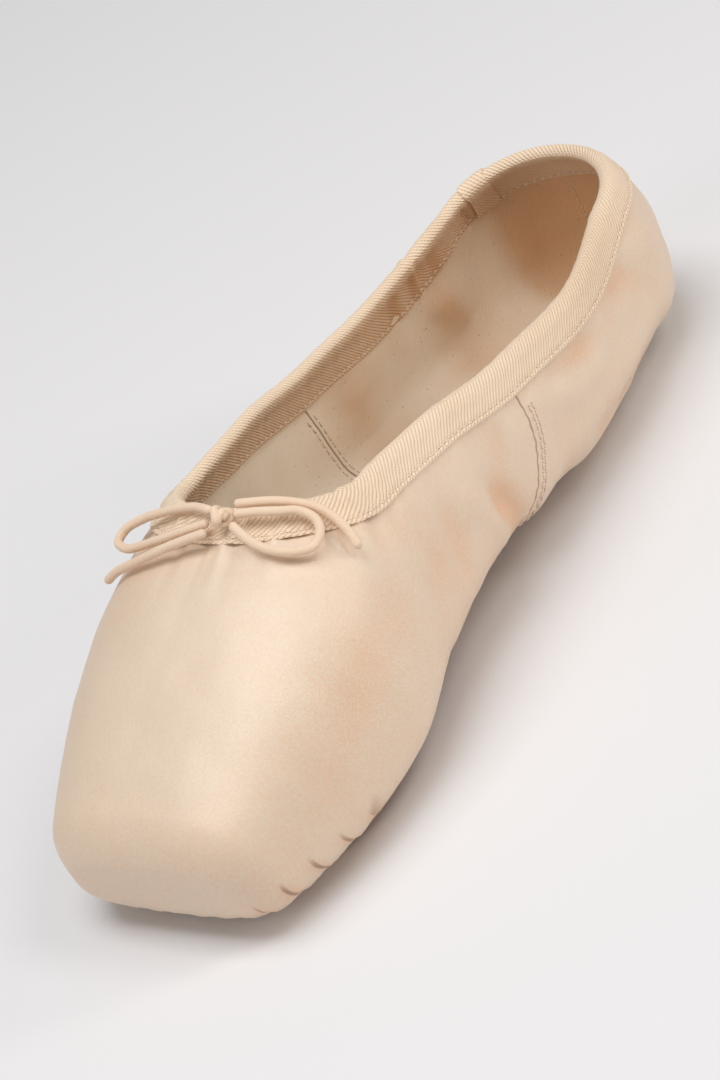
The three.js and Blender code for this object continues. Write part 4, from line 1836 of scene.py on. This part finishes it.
@dataclass
class Upper:
    """Satin outside and cotton lining inside, on the last."""

    relief: Relief
    outside: Stitches
    inside: Stitches
    satin_columns: tuple[int, int, int] = (128, 54, 42)
    satin_rows: int = 104
    turn_weight: float = 9
    satin_wall: float = 0.7
    samples: int = 200
    row_offsets: tuple[float, float] = (-1.7, -2.9)
    row_drop: float = 9.2
    lining_offsets: tuple[float, float] = (-1.5, 1.5)
    lining_drop: float = 12.6
    seam_samples: int = 70
    seam_span: tuple[float, float] = (-40, 14)
    seam_start: float = -15
    lining_columns: tuple[int, int, int] = (56, 48, 34)
    lining_rows: int = 76
    lining_wall: float = 0.75
    lining_seat: float = 0.85

    def surface(self, columns: Columns, rows: int) -> tuple[Array, Array]:
        """Points and normals of the last from the opening underneath up to the collar.

        Args:
            columns: the columns.
            rows: how many rows.

        Returns:
            Points and normals, each (rows, columns, 3), bottom row first.
        """
        top, bottom = LAST.collar_rise(columns), LAST.opening_rise(columns)
        walk = np.linspace(0, 1, self.samples)[:, None]
        fine = LAST.point(columns, bottom + (top - bottom) * walk)
        share = spread(fine, rows, self.turn_weight)
        rise = bottom + (top - bottom) * share
        return LAST.point(columns, rise), LAST.normals(columns, rise)

    def satin(self, material: bpy.types.Material) -> bpy.types.Object:
        """Makes the satin shell.

        Args:
            material: the satin.

        Returns:
            The shell.
        """
        points, normals = self.surface(LAST.columns(*self.satin_columns), self.satin_rows)
        height, shade = self.relief.height(points)
        place, _, share = self.relief.pleats(points)
        # The crease mask carries the painted shade.
        masks = {
            "crease": shade,
            "seam": self.relief.seam_gap(points),
            "pleat": place,
            "pleated": share,
        }
        laid = points + normals * height[..., None]
        shell = laid_grid("upper_satin", laid, grid_uv(points), ring=True, masks=masks)
        thicken(shell, self.satin_wall)
        smooth(shell)
        dress(shell, material)
        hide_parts("upper")
        return shell

    def lining(self, material: bpy.types.Material) -> bpy.types.Object:
        """Makes the cotton lining.

        Args:
            material: the cotton.

        Returns:
            The lining.
        """
        points, normals = self.surface(LAST.columns(*self.lining_columns), self.lining_rows)
        height, shade = self.relief.lining_height(points)
        # The crease mask carries the painted shade.
        masks = {"crease": shade, "seam": self.relief.seam_gap(points, Layer.LINING)}
        stand = height - LAST.wall(points[..., 0]) + self.lining_seat
        inner = points + normals * stand[..., None]
        shell = laid_grid("lining", inner, grid_uv(points), ring=True, masks=masks)
        thicken(shell, self.lining_wall)
        smooth(shell)
        return dress(shell, material)

    def seam_run(self, side: Side, offset: float, top_drop: float, layer: Layer) -> Run:
        """Line beside a side seam.

        Args:
            side: which side of the shoe.
            offset: millimetres ahead of the seam.
            top_drop: millimetres of the line's top below the collar's edge.
            layer: the layer that the line lies on.

        Returns:
            The line, bottom first, with normals that point to the side it is seen from.
        """
        share = np.linspace(0, 1, self.seam_samples)
        places = np.linspace(*self.seam_span, 28)
        outward = side.value * math.pi / 2
        fan = Columns(places, np.full_like(places, outward), np.zeros(places.shape, bool))
        tops, bottoms = LAST.collar_rise(fan), LAST.opening_rise(fan)
        x = np.full_like(share, self.seam_start)
        for _ in range(8):
            top, bottom = np.interp(x, places, tops), np.interp(x, places, bottoms)
            columns = Columns(x, np.full_like(x, outward), np.zeros(x.shape, bool))
            walk = LAST.point(columns, bottom + (top - bottom) * share)
            x = x - (self.relief.seam_gap(walk, layer) - offset)
        drop = nearest_on(walk, self.relief.collar)[0]
        low = LAST.sole_height + 1.5
        points = walk[(drop > top_drop) & (walk[:, 2] > low)]
        points = curve_through(points[::3], 0.4)
        points, normals = LAST.onto(points)
        if layer is Layer.LINING:
            return Run(points + normals * self.relief.lining_face(points)[:, None], -normals)
        return Run(points + normals * self.relief.height(points)[0][:, None], normals)

    def sew(self) -> None:
        """Adds the stitch rows of the side seams, outside and inside."""
        for side in Side:
            for offset in self.row_offsets:
                self.outside.add(*self.seam_run(side, offset, self.row_drop, Layer.SATIN))
            for offset in self.lining_offsets:
                self.inside.add(*self.seam_run(side, offset, self.lining_drop, Layer.LINING))


@dataclass
class CollarBinding:
    """Twill tape folded over the collar's edge, with the drawstring inside."""

    relief: Relief
    stitches: Stitches
    outside: float = 8.5
    inside: float = 12
    tape: float = 0.5
    seat: float = 0.16
    casing: float = 0.42
    casing_drop: float = 2.5
    throat_casing: float = 0.55
    stitch_drop: float = 7.3
    stitch_drop_inside: float = 10.8
    # Share of painted shade on the tape's inner face, inside the shoe.
    inner_painted_shade: float = 0.42
    pucker: float = 0.1
    throat_pucker: float = 0.26
    walk_turn: float = 1.1
    walk_samples: int = 240
    lap: tuple[float, float] = (203.0, 212.0)
    lap_gap: float = 0.04
    lap_slope: float = 3.0
    dimples: tuple[float, ...] = (231.5, 239.0, 247.5, 217.0)
    dimple_depth: float = 0.25
    dimple_width: float = 1.7
    gathers: tuple[tuple[float, float], ...] = (
        (231.5, 0.5), (239, 0.5), (217, 0.3), (30, 0.2), (150, 0.16)
    )

    def __post_init__(self) -> None:
        """Walks down from the collar's edge, column by column."""
        self.columns = LAST.columns(104, 96, 60)
        self.edge = LAST.collar_rise(self.columns)
        self.point = LAST.point(self.columns, self.edge)
        self.normal = LAST.normals(self.columns, self.edge)
        self.up = unit(self.point - LAST.point(self.columns, self.edge - 0.01))
        self.fine = self.edge - np.linspace(0, self.walk_turn, self.walk_samples)[:, None]
        walk = LAST.point(self.columns, self.fine)
        steps = np.cumsum(np.linalg.norm(np.diff(walk, axis=0), axis=-1), 0)
        self.gone = np.concatenate([np.zeros((1, len(self.edge))), steps])
        self.along = walked_length(self.point)

    def at_drop(self, drop: float) -> tuple[Array, Array]:
        """Points and normals of the last a drop below the edge.

        Args:
            drop: millimetres.

        Returns:
            Two arrays, (columns, 3).
        """
        count = len(self.edge)
        rise = np.array([np.interp(drop, self.gone[:, c], self.fine[:, c]) for c in range(count)])
        return LAST.point(self.columns, rise), LAST.normals(self.columns, rise)

    def stand(self, drop: float, width: float, sewn: float) -> Array:
        """How far the tape's face stands off, with its casing, its sewn line and its puckers.

        Args:
            drop: millimetres below the edge.
            width: the drop of the tape's own edge.
            sewn: the drop of its stitches.

        Returns:
            Millimetres for each column.
        """
        flat = self.seat + self.tape
        near = rise_between(self.point[:, 0], 30, 44)
        tube = self.casing + self.throat_casing * near
        tube = tube * math.exp(-(((drop - self.casing_drop + 0.8 * self.throat_casing) / 1.9) ** 2))
        line = 0.2 * math.exp(-(((drop - sewn) / 0.6) ** 2))
        rim = 0.16 * rise_at(drop, width - 0.5, width)
        rim -= 0.2 * math.exp(-(((drop - width + 0.6) / 0.4) ** 2))
        throat = rise_between(self.point[:, 0], 12, 36)
        size = self.pucker + (self.throat_pucker - self.pucker) * throat
        for place, more in self.gathers:
            size = size + more * bell(self.along - place, 4)
        swell = 0.4 + 0.6 * math.sin(min(drop / width, 1) * math.pi)
        ripple = ring_waves(self.along, self.along[-1], 3.6, 5) * swell
        dimple = self.dimple_depth * self.dimpled(1.0) * rise_at(drop, 0.5, 4)
        return flat + tube - line - rim + size * (ripple + 0.3) - dimple

    def dimpled(self, spread: float) -> Array:
        """Share of a gather's dimple at each column, from 0 to 1."""
        away = self.along[:, None] - np.array(self.dimples)
        return bell(away, self.dimple_width * spread).sum(-1)

    def sheet(self, raised: float, outside: float, inside: float) -> tuple[Array, Array]:
        """Points and cloth coordinates of the tape's face over the edge.

        Args:
            raised: how far above the first layer this one lies.
            outside: its width outside.
            inside: its width inside.

        Returns:
            Points (rows, columns, 3) from the outer lower edge over to the inner one, and UV.
        """
        rows, drops = [], []
        sewn = self.stitch_drop
        for drop in (*np.linspace(outside, sewn - 0.9, 9), *np.linspace(sewn - 1.6, 0, 9)):
            p, n = self.at_drop(drop)
            out = self.stand(drop, outside, sewn) + raised
            rows.append(p + n * out[:, None])
            drops.append(drop)
        wall = LAST.wall(self.point[:, 0])
        face = self.stand(0.0, outside, sewn) + raised
        half = (wall / 2 + face)[:, None]
        centre = self.point - self.normal * wall[:, None] / 2
        for turn in np.linspace(0, math.pi, 11)[1:-1]:
            top = self.up * (face * 1.25)[:, None] * math.sin(turn)
            rows.append(centre + self.normal * half * math.cos(turn) + top)
            drops.append(-turn * 1.1)
        sewn = self.stitch_drop_inside
        for drop in (*np.linspace(0, sewn - 1.6, 11), *np.linspace(sewn - 0.9, inside, 8)):
            p, n = self.at_drop(drop)
            out = self.stand(drop, inside, sewn) + raised + LAST.wall(p[:, 0])
            rows.append(p - n * out[:, None])
            drops.append(-math.pi * 1.1 - drop)
        points = np.array(rows)
        uv = np.stack(np.broadcast_arrays(self.along[None, :], np.array(drops)[:, None]), -1)
        return points, uv

    def build(self, material: bpy.types.Material) -> bpy.types.Object:
        """Makes the binding and the lap of its ends, and adds its stitches.

        Args:
            material: the twill.

        Returns:
            The binding.
        """
        points, uv = self.sheet(0, self.outside, self.inside)
        # Painted shade on the tape's inner face, deeper in the gathers' dimples.
        shade = self.inner_painted_shade * rise_between(-uv[..., 1], 3, 6)
        shade = shade + 0.5 * self.dimpled(1.2) * rise_between(-uv[..., 1], 4, 8)
        tape = laid_grid("binding_tape", points, uv, ring=True, masks={"crease": shade})
        thicken(tape, self.tape)
        smooth(tape)
        dress(tape, material)
        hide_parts("collar_binding")
        points, uv = self.sheet(self.tape + self.lap_gap, self.outside - 0.2, self.inside - 0.3)
        held = (self.along > self.lap[0]) & (self.along < self.lap[1])
        slope = np.linspace(0, self.lap_slope, len(points))[:, None, None] * self.way[None, held]
        # The lap carries the same painted shade.
        masks = {"crease": shade[:, held]}
        lap = laid_grid("binding_lap", points[:, held] + slope, uv[:, held], masks=masks)
        thicken(lap, self.tape * 0.9, even=False)
        smooth(lap)
        dress(lap, material)
        for drop, width, inner in (
            (self.stitch_drop, self.outside, False),
            (self.stitch_drop_inside, self.inside, True),
        ):
            p, n = self.at_drop(drop)
            out = self.stand(drop, width, drop) - 0.02
            if inner:
                out = out + LAST.wall(p[:, 0])
                n = -n
            self.stitches.add(p + n * out[:, None], n)
        return tape

    @property
    def way(self) -> Array:
        """Unit steps along the edge."""
        return unit(np.gradient(self.point, axis=0))


@dataclass
class HeelStrip:
    """Satin strip down the heel, folded at its edges and sewn along them."""

    relief: Relief
    stitches: Stitches
    inside_stitches: Stitches
    top: float = 8.3
    width: float = 12.6
    top_width: float = 9
    lift: float = 0.62
    wall: float = 0.3
    fold: tuple[float, float] = (0.38, 0.24)
    sewn: float = 1.9
    length: float = 47
    rows: int = 70
    across: int = 40
    inside_offset: float = 4.6
    inside_rows: int = 46
    inside_span: tuple[int, int] = (5, 36)

    def path(self, side: Array, rise: Array, reach: Array) -> tuple[Array, Array]:
        """Points and normals of the last at a sideways offset from the heel's middle.

        Args:
            side: millimetres to the left.
            rise: ray angles.
            reach: how far back the heel's middle lies at each angle.

        Returns:
            Two arrays with a last axis of three.
        """
        heading = math.pi + np.arcsin(np.clip(side / reach, -1, 1))
        spine = np.full(heading.shape, LAST.heel_fan)
        columns = Columns(spine, heading, np.zeros(heading.shape, bool))
        return LAST.point(columns, rise), LAST.normals(columns, rise)

    def middle(self, count: int) -> tuple[Array, Array, Array]:
        """Ray angles down the heel's middle, the reach there and the strip's half width.

        Args:
            count: how many angles.

        Returns:
            Three arrays, top first.
        """
        one = Columns(np.array([LAST.heel_fan]), np.array([math.pi]), np.array([False]))
        top = LAST.collar_rise(one)[0]
        under = LAST.rise_where(one, -1.5, -0.1, lambda p: p[..., 0] < LAST.sole_back - 0.4)[0]
        fine = np.linspace(top, under, 400)
        many = Columns(np.full(400, LAST.heel_fan), np.full(400, math.pi), np.zeros(400, bool))
        walk = LAST.point(many, fine)
        gone = walked_length(walk)
        share = np.linspace(0, 1, count)
        rise = np.interp(self.top + (gone[-1] - self.top) * share, gone, fine)
        reach = np.interp(rise, fine[::-1], walk[::-1, 0]) - LAST.heel_fan
        half = (self.top_width + (self.width - self.top_width) * np.minimum(share * 2, 1)) / 2
        return rise, reach, half

    def build(self, material: bpy.types.Material) -> bpy.types.Object:
        """Makes the strip and adds its stitch rows.

        Args:
            material: the strip's satin.

        Returns:
            The strip.
        """
        rise, reach, half = self.middle(self.rows)
        share = close_at_ends(self.across, 1.7, first=1)
        side = half[:, None] * share
        points, normals = self.path(side, rise[:, None], reach[:, None])
        inner = half[:, None] - np.abs(side)
        fold = np.where(side > 0, self.fold[0], self.fold[1])
        edge = fold * bell(inner - 0.75, 0.5)
        line = 0.16 * bell(inner - self.sewn, 0.45)
        down = rise_between(inner, -0.1, 0.45)
        run = np.linspace(0, self.length, self.rows)[:, None] + np.zeros_like(side)
        ripple = 0.07 * waves(run[..., None], 3.4, 12) * np.exp(-inner / 3)
        lift = (self.lift + edge - line + ripple) * down + 0.02
        laid = (points + normals * lift[..., None])[::-1]
        uv = np.stack([side, run], -1)[::-1]
        strip = laid_grid("heel_strip_satin", laid, uv)
        thicken(strip, self.wall, even=False)
        smooth(strip)
        dress(strip, material)
        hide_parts("heel_strip")
        for hand in (1, -1):
            p, n = self.path(hand * (half - self.sewn), rise, reach)
            self.stitches.add(p + n * (self.lift - 0.14), n)
        rise, reach, _ = self.middle(self.inside_rows)
        keep = slice(*self.inside_span)
        for hand in (1, -1):
            p, n = self.path(np.full(len(rise), hand * self.inside_offset), rise, reach)
            p = p + n * self.relief.lining_face(p)[:, None]
            self.inside_stitches.add(p[keep], -n[keep])
        return strip


# Soles


def plate_stations(back: float, front: float, count: int) -> Array:
    """Places along a plate, closer together at its rounded ends."""
    turn = np.linspace(0, math.pi, count)
    return back + (front - back) * (0.4 * turn / math.pi + 0.6 * (0.5 - 0.5 * np.cos(turn)))


@dataclass
class Outsole:
    """Buffed leather sole with a bevelled, skived edge and a scored forefoot."""

    stations: int = 150
    across: int = 44
    bevel: float = 0.9
    tread_cup: float = 0.3
    tip: float = 2
    hatch: tuple[float, float] = (16, 88)
    hatch_margin: float = 4.5
    arc_centre: tuple[float, float] = (6, 44)
    edge: tuple[tuple[float, float], ...] = ((0.4, 0.0), (0.7, 0.15), (0.9, 0.5))

    def edge_row(self, x: Array, full: Array, drawn: Array, down: float, into: float) -> tuple:
        """A line along the edge, some way down from the top face and in towards the underside.

        Args:
            x: places along the sole.
            full: the outline's y.
            drawn: the underside's y.
            down, into: shares of the way down and in.

        Returns:
            The line's x, y and z.
        """
        y = full + (drawn - full) * into
        high, low = self.top(x, full), self.bottom(x, drawn)
        return x, y, high + (low - high) * down

    def half(self, x: Array, inset: float) -> Array:
        """Half width of the sole, never pointed at its ends."""
        return np.maximum(LAST.sole_half(x, inset), self.tip - inset)

    def top(self, x: Array, y: Array) -> Array:
        """Height of the sole's upper face."""
        return LAST.under_at(x, y) - 0.05

    def bottom(self, x: Array, y: Array) -> Array:
        """Height of the sole's underside: flat at the tread, cupped beyond it.

        Args:
            x, y: points of the plan.

        Returns:
            Heights in millimetres.
        """
        rise = LAST.under(x) - LAST.sole_height
        cup = LAST.under_at(x, y) - LAST.under_at(x, np.zeros_like(x))
        return rise + np.maximum(cup - self.tread_cup, 0)

    def build(self, material: bpy.types.Material) -> bpy.types.Object:
        """Makes the sole from one closed loop of leather at each place along it.

        Args:
            material: the leather.

        Returns:
            The sole.
        """
        x = plate_stations(LAST.sole_back, LAST.sole_front, self.stations)
        x[0], x[-1] = LAST.sole_back, LAST.sole_front
        share = close_at_ends(self.across, 1.5)
        full, drawn = self.half(x, 0.0), self.half(x, self.bevel)
        rows, rims = [], []
        for s in share[::-1]:
            rows.append((x, s * full, self.top(x, s * full)))
            rims.append(full * (1 - abs(s)))
        for down, into in self.edge:
            rows.append(self.edge_row(x, -full, -drawn, down, into))
            rims.append(np.zeros_like(x))
        for s in share:
            y = s * drawn
            rows.append((x, y, self.bottom(x, y)))
            rims.append(drawn * (1 - abs(s)))
        for down, into in self.edge[::-1]:
            rows.append(self.edge_row(x, full, drawn, down, into))
            rims.append(np.zeros_like(x))
        rows.append(rows[0])
        rims.append(rims[0])
        points = np.stack([np.stack(r, -1) for r in rows], 0)
        rim = np.stack(rims)
        ends = np.minimum(points[..., 0] - LAST.sole_back, LAST.sole_front - points[..., 0])
        rim = np.minimum(rim, np.clip(ends, 0, None))
        x, y = points[..., 0] - self.arc_centre[0], points[..., 1]
        away = [np.hypot(x, y - s * self.arc_centre[1]) for s in (1, -1)]
        inside = rise_between(points[..., 0], self.hatch[0], self.hatch[0] + 2)
        inside = inside * (1 - rise_between(points[..., 0], self.hatch[1] - 2, self.hatch[1]))
        inside = inside * rise_between(rim, self.hatch_margin - 1, self.hatch_margin)
        masks = {"rim": rim, "arc_left": away[0], "arc_right": away[1], "hatch": inside}
        sole = laid_grid("outsole_leather", points, points[..., :2].copy(), masks=masks)
        close_grid()
        smooth(sole, 40)
        dress(sole, material)
        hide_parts("outsole")
        return sole


@dataclass
class Insole:
    """Cotton sock on the upper's turned margin."""

    set_back: float = 24
    share: float = 0.66
    thickness: float = 1.8
    wall: float = 0.9
    cap: float = 26
    back_share: float = 0.55
    back_cap: float = 20.8
    soft_edge: float = 1.4
    uneven: float = 0.14
    stations: int = 110
    across: int = 40

    def __post_init__(self) -> None:
        """Places the sock's ends."""
        self.front = LAST.toe_end - self.set_back
        self.back = LAST.heel_centre - LAST.heel_reach * self.back_share

    def half(self, x: Array) -> Array:
        """Half width of the sock.

        Args:
            x: places along the shoe.

        Returns:
            Half widths, never pointed at the ends.
        """
        body = self.share * (LAST.half_width(x) - LAST.quarter_wall)
        front = LAST.cap(x - (self.front - self.cap), self.cap)
        rear = LAST.cap(self.back + self.back_cap - x, self.back_cap)
        return np.maximum(body * front * rear, 2)

    def floor(self, x: Array, y: Array) -> Array:
        """Height that the sock lies on."""
        slope = LAST.under_at(x, np.abs(y) + 0.5) - LAST.under_at(x, np.abs(y) - 0.5)
        return LAST.under_at(x, y) + (LAST.wall(x) + LAST.gap) * np.hypot(1, slope)

    def build(self, material: bpy.types.Material) -> bpy.types.Object:
        """Makes the sock, softly rounded at its edge and slightly uneven.

        Args:
            material: the cotton.

        Returns:
            The sock.
        """
        x = plate_stations(self.back, self.front, self.stations)
        share = close_at_ends(self.across, 1.6)
        half = self.half(x)
        y = share[:, None] * half
        x = np.broadcast_to(x, y.shape)
        inner = half * (1 - np.abs(share))[:, None]
        soft = 1 - (1 - np.clip(inner / self.soft_edge, 0, 1)) ** 2
        z = self.floor(x, y) + 0.05 + (self.thickness - 0.05) * np.sqrt(soft)
        points = np.stack([x, y, z], -1)
        points[..., 2] += self.uneven * waves(points, 17, 31) * np.clip(inner / 4, 0, 1)
        sock = laid_grid("insole_sock", points, points[..., :2].copy())
        thicken(sock, self.wall, even=False)
        smooth(sock)
        dress(sock, material)
        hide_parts("insole")
        return sock


def main() -> None:
    """Builds the shoe and its studio, piece by piece."""
    logging.basicConfig(level=logging.INFO, format="%(name)s: %(message)s")
    bpy.context.scene.view_settings.view_transform = "Standard"
    PhotoCamera().build()
    cord = CORD.build()
    DrawstringBow().build(cord)
    Studio().build()
    satin, trim, cotton, twill = SATIN.build(), SATIN_TRIM.build(), COTTON.build(), TWILL.build()
    sock, thread, holes = SOCK.build(), THREAD.build(), NeedleHoles().build()
    relief = Relief()
    outside, inside = Stitches(), Stitches(length=1.4, pitch=2.4)
    upper = Upper(relief, outside, inside)
    upper.satin(satin)
    upper.lining(cotton)
    upper.sew()
    CollarBinding(relief, outside).build(twill)
    HeelStrip(relief, outside, inside).build(trim)
    outside.build("sewing_thread", thread, holes, "satin")
    inside.build("lining_thread", thread, holes, "cotton")
    Outsole().build(LeatherFinish().build())
    Insole().build(sock)
    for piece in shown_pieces():
        log.info("%s: %d faces", piece.name, len(piece.data.polygons))


if __name__ == "__main__":
    main()
